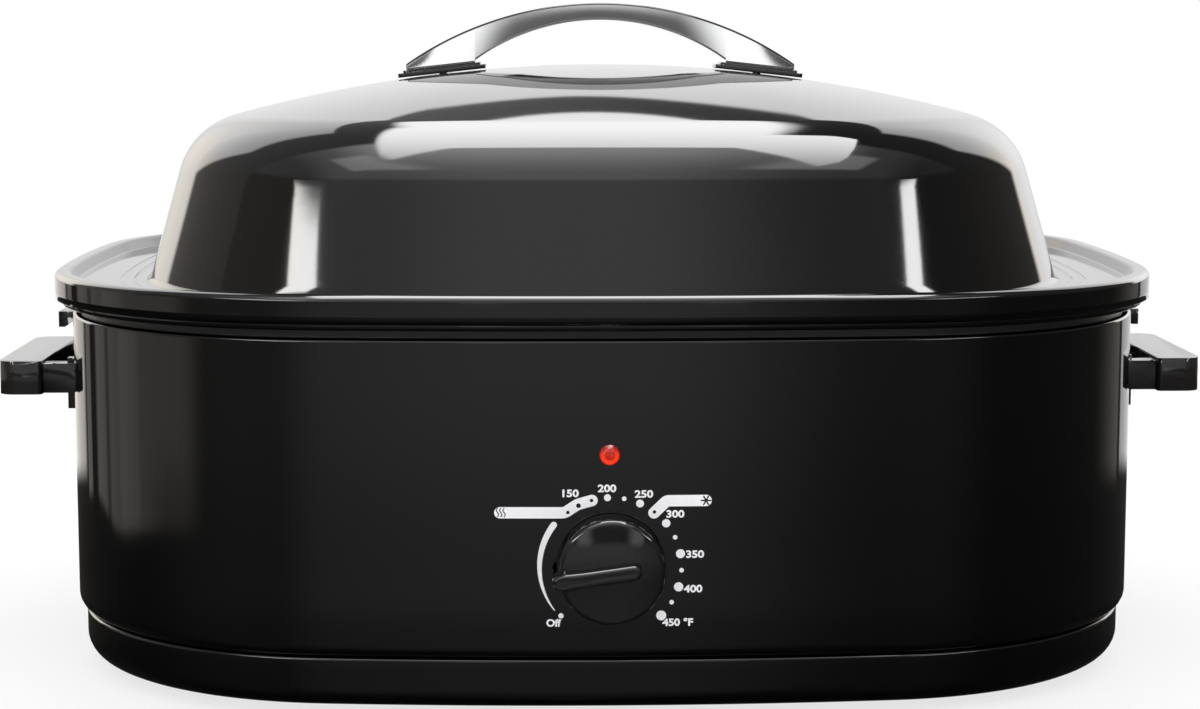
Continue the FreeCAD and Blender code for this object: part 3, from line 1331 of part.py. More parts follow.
def arch_outline(sketch):
    """Side view of the arch: outer arc, toe, sloping foot, inner arc and the mirrored side."""
    heel = seat_point("-pad_length / 2 + 2 * pad_step", PAD_RISE)
    toe = seat_point("pad_length / 2 - 2 * pad_step", PAD_RISE)
    outer_middle = "arch_top - arch_outer_radius"
    inner_middle = "arch_inner_top - arch_inner_radius"
    toe_point = Vector(value(toe[0]), value(toe[1]), 0)
    heel_point = Vector(value(heel[0]), value(heel[1]), 0)
    outer_reach = value("arch_outer_radius")
    lip_x = toe_point.x + value("arch_toe") * 0.3
    lip_y = value(outer_middle) + math.sqrt(outer_reach**2 - lip_x**2)
    outer_turn = math.atan2(lip_y - value(outer_middle), lip_x)
    outer = add_arc(sketch, Vector(0, value(outer_middle), 0), outer_reach,
                    outer_turn, math.pi - outer_turn)
    pin_point(sketch, outer, 3, "0", outer_middle)
    dimension(sketch, f"Radius_{outer}", "arch_outer_radius", outer)
    inner_reach = value("arch_inner_radius")
    inner_turn = math.acos(heel_point.x / inner_reach)
    inner = add_arc(sketch, Vector(0, value(inner_middle), 0), inner_reach,
                    inner_turn, math.pi - inner_turn)
    pin_point(sketch, inner, 3, "0", inner_middle)
    dimension(sketch, f"Radius_{inner}", "arch_inner_radius", inner)
    inner_end = value(inner_middle) + inner_reach * math.sin(inner_turn)
    for sign, start, text in ((1, 1, ""), (-1, 2, "-")):
        lip = Vector(sign * lip_x, lip_y, 0)
        low = Vector(sign * toe_point.x, toe_point.y, 0)
        back = Vector(sign * heel_point.x, heel_point.y, 0)
        rise = Vector(sign * heel_point.x, inner_end, 0)
        toe_line = sketch.addGeometry(Part.LineSegment(lip, low), False)
        foot_line = sketch.addGeometry(Part.LineSegment(low, back), False)
        heel_line = sketch.addGeometry(Part.LineSegment(back, rise), False)
        for first, second in (((outer, start), (toe_line, 1)), ((toe_line, 2), (foot_line, 1)),
                              ((foot_line, 2), (heel_line, 1)), ((heel_line, 2), (inner, start))):
            sketch.addConstraint(Sketcher.Constraint("Coincident", *first, *second))
        pin_point(sketch, foot_line, 1, f"{text}({toe[0]})", toe[1])
        pin_point(sketch, foot_line, 2, f"{text}({heel[0]})", heel[1])
        dimension(sketch, f"DistanceX_{toe_line}", f"{text}({toe[0]} + 0.3 * arch_toe)",
                  -1, 1, toe_line, 1)
        dimension(sketch, f"DistanceX_{heel_line}", f"{text}({heel[0]})", -1, 1, heel_line, 2)


arch_outline(ARCH_SIDE)
pad(arch, "arch_band", ARCH_SIDE, "arch_depth", both=True)
doc.recompute()
for end, sign, mirrored in SIDES:
    seat_drill(arch, f"screw_bore_{end}", sign, "lid_screw_radius + shaft_fit",
               "0", "lid_screw_length - 2 * lid_sheet")

lid_screws = []
lid_washers = []
for end, sign, mirrored in SIDES:
    under = "-(2 * pad_seat + lid_sheet + dome_fit + washer_thick)"
    fixing = screw("lid_screw_" + end, "lid_screw_radius", "lid_screw_length",
                   "lid_head_radius", "lid_head_height")
    on_seat(fixing, sign, under)
    lid_screws.append(fixing)
    ring = washer("lid_washer_" + end, "washer_radius", "lid_screw_radius + shaft_fit",
                  "washer_thick")
    on_seat(ring, sign, under)
    lid_washers.append(ring)
node(group("lid_handle_screws", lid_screws))
node(group("lid_handle_washers", lid_washers))

# ---------------------------------------------------------------- check and export

doc.recompute()
faults = [thing.Label for thing in doc.Objects if "Invalid" in thing.State or "Error" in thing.State]
faults += [piece.Label for piece in NODES if piece.Shape.isNull() or not piece.Shape.isValid()]
if faults:
    raise RuntimeError("pieces that failed to build: " + ", ".join(faults))
os.makedirs("parts", exist_ok=True)
for piece in NODES:
    piece.Shape.exportStep(f"parts/{piece.Label}.step")
    box = piece.Shape.BoundBox
    print(f"{piece.Label}: {len(piece.Shape.Solids)} solids, {piece.Shape.Volume / 1000:.2f} cm3, "
          f"x {box.XMin:.1f} {box.XMax:.1f} y {box.YMin:.1f} {box.YMax:.1f} "
          f"z {box.ZMin:.1f} {box.ZMax:.1f}")
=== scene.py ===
import math

import bpy
import numpy as np
from mathutils import Matrix


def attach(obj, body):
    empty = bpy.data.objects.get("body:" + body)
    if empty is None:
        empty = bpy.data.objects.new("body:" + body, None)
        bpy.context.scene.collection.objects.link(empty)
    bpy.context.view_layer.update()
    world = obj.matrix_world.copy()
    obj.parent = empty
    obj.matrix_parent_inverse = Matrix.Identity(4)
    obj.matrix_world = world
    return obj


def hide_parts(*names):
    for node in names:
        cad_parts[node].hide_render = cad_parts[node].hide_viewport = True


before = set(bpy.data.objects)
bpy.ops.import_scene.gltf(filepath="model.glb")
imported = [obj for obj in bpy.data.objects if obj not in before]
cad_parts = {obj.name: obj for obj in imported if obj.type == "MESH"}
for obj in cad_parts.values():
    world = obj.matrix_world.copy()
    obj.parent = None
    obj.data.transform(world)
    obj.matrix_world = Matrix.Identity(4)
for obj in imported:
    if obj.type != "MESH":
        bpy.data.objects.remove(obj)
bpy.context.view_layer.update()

# ---------------------------------------------------------------- base pan
# Shallow dish pressed from sheet steel and fired with the same black enamel as the housing. It
# stands on four rubber feet and has a ring of vents in its floor.


class Wire:
    """One output of a shader node. A sum on it adds the Math node that works it out at each
    point of the surface."""

    def __init__(self, tree, output=None):
        self.tree = tree
        self.output = output

    def node(self, kind, settings=None, sockets=None, output=0):
        """Any node: its type, its settings first, then the values or links of its sockets."""
        made = self.tree.nodes.new(kind)
        for name, value in (settings or {}).items():
            setattr(made, name, value)
        for name, value in (sockets or {}).items():
            if isinstance(value, Wire):
                self.tree.links.new(value.output, made.inputs[name])
            else:
                made.inputs[name].default_value = value
        return Wire(self.tree, made.outputs[output])

    def feed(self, socket):
        """Link this output to a shader's socket."""
        self.tree.links.new(self.output, socket)

    def math(self, operation, *others):
        """Math node of this output and other wires or numbers."""
        return self.node("ShaderNodeMath", {"operation": operation}, dict(enumerate((self, *others))))

    def __add__(self, other):
        return self.math("ADD", other)

    def __mul__(self, other):
        return self.math("MULTIPLY", other)

    def __sub__(self, other):
        return self.math("SUBTRACT", other)

    def __rsub__(self, other):
        return self.math("MULTIPLY_ADD", -1, other)

    __radd__ = __add__
    __rmul__ = __mul__

    def step(self, low, high):
        """Smooth rise from 0 at one value to 1 at another: 3t^2 - 2t^3."""
        return self.node("ShaderNodeMapRange", {"interpolation_type": "SMOOTHSTEP"},
                         {"Value": self, "From Min": low, "From Max": high})

    def band(self, low, high, edge):
        """1 between two values, falling smoothly to 0 over an edge outside each."""
        return self.step(low - edge, low) * (1 - self.step(high, high + edge))

    def blend(self, first, second):
        """Colour that goes from the first at 0 to the second at 1."""
        return self.node("ShaderNodeMix", {"data_type": "RGBA"}, {0: self, 6: first, 7: second}, 2)


def new_finish(name, fixed):
    """Material, a wire of its tree and its shader, with its constants on the shader's sockets."""
    material = bpy.data.materials.new(name)
    material.use_nodes = True
    shader = material.node_tree.nodes["Principled BSDF"]
    for socket, value in fixed.items():
        shader.inputs[socket].default_value = value
    return material, Wire(material.node_tree), shader


def lumps(wire, size, stretch=(1, 1, 1), detail=3):
    """Cloudy value between 0 and 1 on Object coordinates, with lumps of a size in millimetres."""
    spot = wire.node("ShaderNodeTexCoord", output="Object")
    spot = wire.node("ShaderNodeMapping", {}, {"Vector": spot, "Scale": stretch})
    return wire.node("ShaderNodeTexNoise", {},
                     {"Vector": spot, "Scale": 1000 / size, "Detail": detail, "Roughness": 0.55})


def relief(height, depth, shader):
    """Bump of a height between 0 and 1, with a depth in millimetres."""
    height.node("ShaderNodeBump", {}, {"Height": height, "Distance": depth / 1000,
                                       "Strength": 1}).feed(shader.inputs["Normal"])


def grey(level, tint=(1, 1, 1)):
    return (level * tint[0], level * tint[1], level * tint[2], 1)


def fired_enamel():
    """Black glass enamel: a deep gloss with a faint long ripple, fine dust and soft handling
    marks that only change how sharply it mirrors."""
    material, wire, shader = new_finish("fired_enamel", {"IOR": 1.52})
    haze, dust = lumps(wire, 90), lumps(wire, 0.9, detail=1).step(0.62, 0.72)
    haze.blend(grey(0.0009), grey(0.0017, (1, 1, 1.2))).feed(shader.inputs["Base Color"])
    (0.035 + 0.025 * haze + 0.03 * dust).feed(shader.inputs["Roughness"])
    relief(lumps(wire, 16, detail=2) + 0.1 * lumps(wire, 1.5), 0.005, shader)
    return material


def plan_outline(half_length, half_depth, side_radius, corner_radius):
    """Plan outline of eight tangent arcs, anticlockwise from the right end: each arc's points are
    centre + radius (cos a, sin a) and its outward normals (cos a, sin a). The corner arc's centre
    is where the end and front arcs, both made smaller by the corner radius, cross."""
    end_x, front_y = half_length - side_radius, half_depth - side_radius
    gap = math.hypot(end_x, front_y)
    across = math.sqrt((side_radius - corner_radius) ** 2 - gap * gap / 4)
    corner_x = end_x / 2 - across * front_y / gap
    corner_y = front_y / 2 - across * end_x / gap
    low = math.atan2(corner_y, corner_x - end_x)
    high = math.atan2(corner_y - front_y, corner_x)
    half_turn = math.pi
    arcs = ((end_x, 0, side_radius, -low, low, 30),
            (corner_x, corner_y, corner_radius, low, high, 28),
            (0, front_y, side_radius, high, half_turn - high, 48),
            (-corner_x, corner_y, corner_radius, half_turn - high, half_turn - low, 28),
            (-end_x, 0, side_radius, half_turn - low, half_turn + low, 30),
            (-corner_x, -corner_y, corner_radius, half_turn + low, half_turn + high, 28),
            (0, -front_y, side_radius, half_turn + high, 2 * half_turn - high, 48),
            (corner_x, -corner_y, corner_radius, -high, -low, 28))
    points, normals = [], []
    for x, y, radius, start, stop, count in arcs:
        turn = np.linspace(start, stop, count, endpoint=False)
        normal = np.stack([np.cos(turn), np.sin(turn)], axis=1)
        points.append((x, y) + radius * normal)
        normals.append(normal)
    return np.concatenate(points), np.concatenate(normals)


def bent(*corners, steps=6):
    """Section line through (out, up) corners. A corner with a third number is a tangent arc of
    that radius: middle + radius (cos a, sin a) between the two straight runs."""
    spots = [np.array(corner[:2], float) for corner in corners]
    line = []
    for i, corner in enumerate(corners):
        if len(corner) < 3:
            line.append(spots[i][None])
            continue
        back, ahead = spots[i - 1] - spots[i], spots[i + 1] - spots[i]
        back, ahead = back / np.linalg.norm(back), ahead / np.linalg.norm(ahead)
        half = math.acos(float(np.clip(back @ ahead, -1, 1))) / 2
        middle = spots[i] + (back + ahead) / np.linalg.norm(back + ahead) * corner[2] / math.sin(half)
        first = spots[i] + back * corner[2] / math.tan(half) - middle
        last = spots[i] + ahead * corner[2] / math.tan(half) - middle
        start = math.atan2(first[1], first[0])
        sweep = math.remainder(math.atan2(last[1], last[0]) - start, 2 * math.pi)
        turn = start + sweep * np.linspace(0, 1, steps)
        line.append(middle + corner[2] * np.stack([np.cos(turn), np.sin(turn)], axis=1))
    return np.concatenate(line)


def rows_round(outline, line):
    """Rows of points, one for each point (out, up) of a section line carried round an outline:
    row = outline point + out times its normal, at height up."""
    points, normals = outline
    rows = np.empty((len(line), len(points), 3))
    rows[..., :2] = points + line[:, None, :1] * normals
    rows[..., 2] = line[:, 1:2]
    return rows


def skin(name, rows, loop=False, caps=(), sharp=38):
    """Mesh from rows of points in millimetres, each row a closed curve: quads between
    neighbouring rows, from the last row back to the first with loop, and a fan to the middle of
    each row named in caps. Rows that run up outside and inwards over the top face out."""
    count, around = rows.shape[:2]
    points = rows.reshape(-1, 3)
    index = np.arange(count * around).reshape(count, around)
    beside = np.roll(index, -1, axis=1)
    ahead = np.roll(index, -1, axis=0) if loop else index[1:]
    stay = count if loop else count - 1
    faces = np.stack([index[:stay], beside[:stay], np.roll(ahead, -1, axis=1), ahead], axis=-1)
    faces = faces.reshape(-1, 4).tolist()
    for row, ring in (("first", (beside[0], index[0])), ("last", (index[-1], beside[-1]))):
        if row in caps:
            middle = np.full(around, len(points))
            points = np.concatenate([points, rows[:1 if row == "first" else None][-1:].mean(axis=1)])
            faces += np.stack([middle, *ring], axis=-1).tolist()
    mesh = bpy.data.meshes.new(name)
    mesh.from_pydata(points / 1000, [], faces)
    mesh.shade_smooth()
    mesh.set_sharp_from_angle(angle=math.radians(sharp))
    return mesh


def piece(mesh, finish, body, slot, *nodes):
    """Object of a mesh, with its finish, that rides on a body and stands for CAD nodes."""
    thing = bpy.data.objects.new(mesh.name, mesh)
    bpy.context.scene.collection.objects.link(thing)
    mesh.materials.append(finish)
    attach(thing, body)
    if nodes:
        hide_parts(*nodes)
    thing.modifiers.new("even_light", "WEIGHTED_NORMAL").keep_sharp = True
    return thing


def plate(name, outline, holes, low, high):
    """Flat plate of a closed outline with round holes (x, y, radius), between two heights."""
    sheet = bpy.data.curves.new(name, "CURVE")
    sheet.dimensions, sheet.fill_mode, sheet.extrude = "2D", "BOTH", (high - low) / 2000
    turn = np.linspace(0, 2 * math.pi, 24, endpoint=False)
    rings = [outline] + [np.stack([x + radius * np.cos(turn), y + radius * np.sin(turn)], axis=1)
                         for x, y, radius in holes]
    for ring in rings:
        spline = sheet.splines.new("POLY")
        spline.points.add(len(ring) - 1)
        flat = np.zeros((len(ring), 4))
        flat[:, :2] = ring / 1000
        spline.points.foreach_set("co", flat.ravel())
        spline.use_cyclic_u = True
    thing = bpy.data.objects.new(name, sheet)
    bpy.context.scene.collection.objects.link(thing)
    mesh = bpy.data.meshes.new_from_object(thing)
    bpy.data.objects.remove(thing)
    mesh.name = name
    mesh.transform(Matrix.Translation((0, 0, (low + high) / 2000)))
    return mesh


ENAMEL = fired_enamel()
BODY_HALF_LENGTH, BODY_HALF_DEPTH = 251.0, 203.5
FRONT_RADIUS, CORNER_RADIUS = 1250.0, 137.0
BODY_PLAN = plan_outline(BODY_HALF_LENGTH, BODY_HALF_DEPTH, FRONT_RADIUS, CORNER_RADIUS)
FLOOR_INSET = 24
VENT_RING, VENT_RADIUS = 62, 3.5
piece(skin("base_dish", rows_round(BODY_PLAN, bent(
    (-FLOOR_INSET, 4), (-3.5, 4, 11), (-3.5, 27, 1.5), (-12.5, 27), (-12.5, 26), (-4.5, 26, 0.5),
    (-4.5, 5, 10), (-FLOOR_INSET, 5), steps=10)), loop=True), ENAMEL, "oven", "black_enamel", "base_pan")
VENTS = [(VENT_RING * math.cos(turn), VENT_RING * math.sin(turn), VENT_RADIUS)
         for turn in np.arange(8) * math.pi / 4]
piece(plate("base_floor", BODY_PLAN[0] - FLOOR_INSET * BODY_PLAN[1], VENTS, 4, 5), ENAMEL, "oven",
      "black_enamel")

# ---------------------------------------------------------------- feet and small fixings
# Four moulded rubber buttons under the base pan, each held by a self-tapping screw from below.
# Those screws and the other small steel parts are pressed or turned and then zinc-plated.


def moulded_rubber():
    """Matt black rubber with a fine mould grain and grey bloom."""
    material, wire, shader = new_finish("moulded_rubber", {"IOR": 1.5})
    bloom = lumps(wire, 5)
    bloom.blend(grey(0.012), grey(0.035)).feed(shader.inputs["Base Color"])
    (0.62 + 0.2 * bloom).feed(shader.inputs["Roughness"])
    relief(lumps(wire, 0.6), 0.05, shader)
    return material


def zinc_plate():
    """Bright zinc with cloudy passivation and light tool marks."""
    material, wire, shader = new_finish("zinc_plate", {"Metallic": 1})
    cloud = lumps(wire, 2.5)
    cloud.blend(grey(0.5, (1, 1, 1.04)), grey(0.72, (1.02, 1, 0.93))).feed(shader.inputs["Base Color"])
    (0.24 + 0.18 * lumps(wire, 0.8)).feed(shader.inputs["Roughness"])
    relief(lumps(wire, 0.4), 0.01, shader)
    return material


def weld(node):
    """Join a CAD node's loose triangles into one smooth surface."""
    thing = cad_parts[node]
    thing.data.polygons.foreach_set("use_smooth", np.ones(len(thing.data.polygons), bool))
    thing.modifiers.new("weld", "WELD").merge_threshold = 1e-5
    return thing


def soften(node, angle=35):
    """Weld a CAD node and keep only its real edges sharp."""
    weld(node).modifiers.new("edges", "EDGE_SPLIT").split_angle = math.radians(angle)


def coat(material, *nodes):
    """Give carried-over CAD nodes their finish."""
    for node in nodes:
        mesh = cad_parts[node].data
        if not mesh.materials:
            mesh.materials.append(material)
        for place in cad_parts[node].material_slots:
            place.material = material


RUBBER, ZINC = moulded_rubber(), zinc_plate()
FEET = ("foot_front_left", "foot_front_right", "foot_back_left", "foot_back_right")
SMALL_STEEL = ("foot_screws", "tie_rod", "tie_rod_nut", "band_clamps", "thermostat_bracket",
               "thermostat_screws", "lens_retainer", "earth_screw", "handle_screws",
               "handle_washers", "lid_handle_screws", "lid_handle_washers")
for node in FEET + SMALL_STEEL:
    soften(node)
coat(RUBBER, *FEET)
coat(ZINC, *SMALL_STEEL)

# ---------------------------------------------------------------- outer housing
# Sheet steel wrapped to a rounded rectangle and enamelled. Its top edge is rolled in as a hem and
# its lower edge turns in over the base pan.

piece(skin("housing_wall", rows_round(BODY_PLAN, bent(
    (-9.5, 27), (0, 27, 7), (0, 60), (0, 100), (0, 140), (0, 166, 2), (-7, 166), (-7, 165),
    (-1, 165, 1), (-1, 28, 6), (-9.5, 28))), loop=True),
    ENAMEL, "oven", "black_enamel", "outer_housing")

# ---------------------------------------------------------------- dial print
# White ceramic ink, fired onto the front wall round the knob: temperature dots and numbers, two
# plain bars for the low settings, and a sweep that thins towards the off mark.

DIAL = (0.0, 68.0)
DOT_RING, SWEEP_RING = 30.1, 30.6
BAR_WIDTH = 4.9
THAW_END = (40.4, 28.6)
INK_DEPTH, INK_LIFT, PICTOGRAM_LIFT = 0.04, 0.08, 0.13


def fired_ink():
    """Matt white ink, a little lavender, with a faint grain and thinner spots."""
    material, wire, shader = new_finish("fired_ink", {"IOR": 1.5})
    thin = lumps(wire, 1.2)
    thin.blend(grey(0.84, (1, 1, 1.03)), grey(0.93, (0.99, 0.99, 1.02))).feed(shader.inputs["Base Color"])
    (0.38 + 0.2 * thin).feed(shader.inputs["Roughness"])
    relief(lumps(wire, 0.3), 0.01, shader)
    return material


def around(angle, reach):
    """Point on the dial at an angle in degrees from three o'clock, anticlockwise."""
    return (reach * math.cos(math.radians(angle)), reach * math.sin(math.radians(angle)))


def disc(spot, radius):
    """Round dot: spot + radius (cos a, sin a). Its points and its one face."""
    turn = np.linspace(0, 2 * math.pi, 28, endpoint=False)
    points = np.array(spot) + radius * np.stack([np.cos(turn), np.sin(turn)], axis=1)
    return points, [list(range(len(points)))]


def ribbon(line, widths):
    """Stroke with round ends: the line moved to each side by half its width, with a half circle
    at each end. Its points, and its faces from one station of the line to the next."""
    line, half = np.asarray(line, float), np.asarray(widths, float)[:, None] / 2
    along = np.gradient(line, axis=0)
    along /= np.linalg.norm(along, axis=1)[:, None]
    side = np.stack([-along[:, 1], along[:, 0]], axis=1)
    turn = np.linspace(0, math.pi, 12)[1:-1, None]
    tip = line[-1] + half[-1] * (np.cos(turn) * -side[-1] + np.sin(turn) * along[-1])
    tail = line[0] + half[0] * (np.cos(turn) * side[0] - np.sin(turn) * along[0])
    points = np.concatenate([line - side * half, tip, (line + side * half)[::-1], tail])
    count, beyond = len(line), len(line) + len(tip)
    last = beyond + count - 1
    faces = [[i, i + 1, last - i - 1, last - i] for i in range(count - 1)]
    return points, faces + [list(range(count - 1, beyond + 1)), [*range(last, len(points)), 0]]


def path(*corners):
    """Dense line through corners, with its bends rounded by averaging neighbours."""
    corners = np.array(corners, float)
    reach = np.concatenate([[0], np.cumsum(np.linalg.norm(np.diff(corners, axis=0), axis=1))])
    steps = np.linspace(0, reach[-1], 60)
    line = np.stack([np.interp(steps, reach, corners[:, i]) for i in (0, 1)], axis=1)
    for _ in range(3):
        line[1:-1] = (line[:-2] + line[1:-1] * 2 + line[2:]) / 4
    return line


def print_mesh(name, shapes, lift):
    """Mesh of flat shapes, each its points and its faces, laid on the curved front wall."""
    points, faces = [], []
    for spots, parts in shapes:
        faces += [[corner + len(points) for corner in part] for part in parts]
        points += spots.tolist()
    mesh = bpy.data.meshes.new(name)
    mesh.from_pydata([(x, z, 0) for x, z in points], [], faces)
    return lay_print(mesh, lift)


def lay_print(mesh, lift):
    """Lay a flat mesh (across, up) on the front wall, with the dial's middle at its origin: its
    depth follows the wall's arc, R - sqrt(R^2 - across^2), less the lift in front of it."""
    spots = np.empty(len(mesh.vertices) * 3)
    mesh.vertices.foreach_get("co", spots)
    across, up = spots.reshape(-1, 3)[:, 0] + DIAL[0], spots.reshape(-1, 3)[:, 1] + DIAL[1]
    depth = -BODY_HALF_DEPTH + FRONT_RADIUS - np.sqrt(FRONT_RADIUS ** 2 - across ** 2) - lift
    mesh.vertices.foreach_set("co", (np.stack([across, depth, up], axis=1) / 1000).ravel())
    mesh.update()
    return mesh


def print_piece(mesh, finish, slot):
    """Print on the wall, with the thickness of one coat of ink."""
    thing = piece(mesh, finish, "oven", slot)
    coat_depth = thing.modifiers.new("coat", "SOLIDIFY")
    coat_depth.thickness = INK_DEPTH / 1000
    coat_depth.offset = -1


INK = fired_ink()
DOTS = ((-135.5, 1.15), (93.1, 1.5), (79.5, 1.0), (66.0, 1.68), (38.9, 1.8), (25.1, 1.0), (10.8, 1.95),
        (-2.9, 1.0), (-16.9, 2.0), (-30.8, 1.0), (-44.7, 2.15))
marks = [disc(around(angle, DOT_RING), size) for angle, size in DOTS]
sweep_turn = np.linspace(143.1, 217.7, 50)
sweep_line = np.stack([SWEEP_RING * np.cos(np.radians(sweep_turn)),
                       SWEEP_RING * np.sin(np.radians(sweep_turn))], axis=1)
marks += [ribbon(sweep_line, 0.35 + 2.5 * np.sin(np.linspace(1.9, 3.13, 50)) ** 0.9)]
warm_line = path((-47.4, 23.6), (-19.8, 23.6), (-14.4, 27.2), (-8.2, 28.9))
thaw_line = path((18.2, 23.4), (23.6, 28.6), THAW_END)
marks += [ribbon(line, np.full(len(line), BAR_WIDTH)) for line in (warm_line, thaw_line)]
print_piece(print_mesh("dial_marks", marks, INK_LIFT), INK, "white_ceramic")

# Pictograms of the low settings: rising heat at the end of the left bar, a frost flake at the end
# of the right one, and the small round gaps in both.
HEAT = [ribbon([(x + 0.5 * math.sin(i * 0.9), z) for i, z in enumerate(np.linspace(21.9, 25.5, 8))],
               np.full(8, 0.42)) for x in (-48.4, -47.0, -45.6)]
FLAKE = [ribbon([np.array(THAW_END) + around(turn, reach) for reach in (0.2, 2.0)], np.full(2, 0.6))
         for turn in range(0, 360, 60)]
HOLES = ((127.9, 0.75), (117.6, 1.0), (106.2, 0.75), (52.3, 0.75))
holes = [disc(around(angle, DOT_RING), size) for angle, size in HOLES]
print_piece(print_mesh("dial_pictograms", HEAT + FLAKE + holes, PICTOGRAM_LIFT), ENAMEL, "black_enamel")

FIGURE_SIZE, FIGURE_BOLD = 4.35, 0.15
LABELS = (("150", -17.3, 32.0, 1.2), ("200", -1.8, 34.1, 1.2), ("250", 13.9, 31.6, 1.2),
          ("300", 27.3, 22.9, 1.2), ("350", 35.8, 5.4, 1.2), ("400", 35.0, -9.6, 1.2),
          ("450 °F", 28.5, -24.1, 1.14), ("Off", -24.6, -24.2, 1.04))


def numbers(labels):
    """Bold plain figures, each set widened by its own amount and centred on its spot."""
    points, faces = [], []
    for text, across, up, widened in labels:
        letters = bpy.data.curves.new("figures", "FONT")
        letters.body, letters.resolution_u = text, 4
        letters.size, letters.offset = FIGURE_SIZE, FIGURE_BOLD
        writing = bpy.data.objects.new("figures", letters)
        bpy.context.scene.collection.objects.link(writing)
        flat = bpy.data.meshes.new_from_object(writing)
        bpy.data.objects.remove(writing)
        spots = np.empty(len(flat.vertices) * 3)
        flat.vertices.foreach_get("co", spots)
        spots = spots.reshape(-1, 3) * (widened, 1, 1)
        spots[:, :2] += (across, up) - (spots[:, :2].max(axis=0) + spots[:, :2].min(axis=0)) / 2
        faces += [[vertex + len(points) for vertex in face.vertices] for face in flat.polygons]
        points += spots.tolist()
    mesh = bpy.data.meshes.new("dial_numbers")
    mesh.from_pydata(points, [], faces)
    return lay_print(mesh, INK_LIFT)


print_piece(numbers(LABELS), INK, "white_ceramic")

# ---------------------------------------------------------------- indicator lens
# Clear red acrylic jewel, moulded with small facets inside and lit from behind by the neon lamp
# in its barrel. It is pushed into the front wall and held from inside by a push-on clip.

LENS = (-0.7, -BODY_HALF_DEPTH, 116.5)


def turned(line, count, ripple=None):
    """Rows turned about the Y axis: (r cos a, depth, r sin a) for each (r, depth) of a section
    line, with the ripple of that angle and depth taken off the radius."""
    turn = np.linspace(0, 2 * math.pi, count, endpoint=False)[None]
    radius = line[:, :1] - (ripple(turn, line[:, 1:]) if ripple else 0 * turn)
    return np.stack([radius * np.cos(turn), line[:, 1:] + 0 * turn, radius * np.sin(turn)], axis=-1)


def red_jewel():
    """Clear red moulding lit from behind: its glow stands for the neon lamp's light, deep in its
    middle. The brighter lower rim and small inner facets are painted highlights in that glow, and the base
    colour follows the same painted light."""
    material, wire, shader = new_finish("red_jewel", {"IOR": 1.49, "Roughness": 0.05,
                                                      "Emission Strength": 0.8})
    spot = wire.node("ShaderNodeTexCoord", output="Object")
    local = wire.node("ShaderNodeMapping", {},
                      {"Vector": spot, "Location": (-LENS[0] / 1000, 0, -LENS[2] / 1000)})
    flat = local.node("ShaderNodeVectorMath", {"operation": "MULTIPLY"}, {0: local, 1: (1, 0, 1)})
    reach = flat.node("ShaderNodeVectorMath", {"operation": "LENGTH"}, {0: flat}, "Value")
    up = local.node("ShaderNodeSeparateXYZ", {}, {0: local}, "Z")
    facets = wire.node("ShaderNodeTexVoronoi", {"feature": "DISTANCE_TO_EDGE"},
                       {"Vector": local, "Scale": 520.0}).step(0.0, 0.3)
    # Painted highlight: the lower rim and the facet edges glow brighter than the rest, and the base colour
    # below copies the glow.
    painted_rim_light = reach.band(0.0026, 0.0038, 0.0008) * (1 - up.step(-0.002, 0.0035))
    glow = (0.12 + 0.85 * painted_rim_light + 0.32 * facets) * (1 - 0.85 * reach.step(0.0036, 0.0042))
    glow.blend((0.2, 0.001, 0.001, 1), (1.0, 0.055, 0.014, 1)).feed(shader.inputs["Emission Color"])
    glow.blend((0.12, 0.002, 0.002, 1), (0.3, 0.01, 0.006, 1)).feed(shader.inputs["Base Color"])
    relief(facets, 0.1, shader)
    return material


lens_rows = turned(bent((0.1, 2), (4.4, 2), (4.4, -0.9, 0.3), (3.9, -1.3), (3.4, -1.85), (2.6, -2.3),
                        (1.6, -2.5), (0.1, -2.6)), 48)
lens_rows += LENS
piece(skin("lamp_lens", lens_rows, caps=("first", "last")), red_jewel(), "oven", "red_lens",
      "indicator_lens")

# ---------------------------------------------------------------- heating well and heaters
# Bright aluminised liner that the pan hangs in, with painted shade at its neck: its colour there is
# painted near black for the shadow under the pan's bead.
# Mica band heaters, a felt blanket, the heat shield and the tie rod lie round it.


def bright_liner():
    """Aluminised steel with a soft spangle and faint drawing marks, and painted shade at the neck:
    there the colour turns near black and less metallic, standing for the shadow under the pan's bead."""
    material, wire, shader = new_finish("bright_liner", {})
    spot = wire.node("ShaderNodeTexCoord", output="Object")
    parts = wire.node("ShaderNodeSeparateXYZ", {}, {0: spot}, "Z")
    # Painted shade: above the neck's height the liner is coloured near black and less metallic, for the
    # shadow under the pan's bead.
    painted_neck_shade = parts.step(0.1655, 0.1662)
    spangle = wire.node("ShaderNodeTexVoronoi", {}, {"Vector": spot, "Scale": 240.0}, "Color")
    shade = spangle.node("ShaderNodeRGBToBW", {}, {0: spangle})
    bright = shade.blend(grey(0.52), grey(0.66, (0.99, 1, 1.02)))
    painted_neck_shade.blend(bright, grey(0.02)).feed(shader.inputs["Base Color"])
    (1 - 0.9 * painted_neck_shade).feed(shader.inputs["Metallic"])
    (0.26 + 0.14 * lumps(wire, 3, (1, 1, 0.06)) + 0.1 * painted_neck_shade).feed(shader.inputs["Roughness"])
    relief(lumps(wire, 2, (1, 1, 0.05)), 0.015, shader)
    return material


def plain_solid(name, first, second, size, depth, stretch, fixed):
    """Dull solid whose colour wanders between two shades, with a grain of its own."""
    material, wire, shader = new_finish(name, fixed)
    cloud = lumps(wire, size, stretch)
    cloud.blend((*first, 1), (*second, 1)).feed(shader.inputs["Base Color"])
    (0.5 + 0.35 * cloud).feed(shader.inputs["Roughness"])
    relief(lumps(wire, size / 3, stretch), depth, shader)
    return material


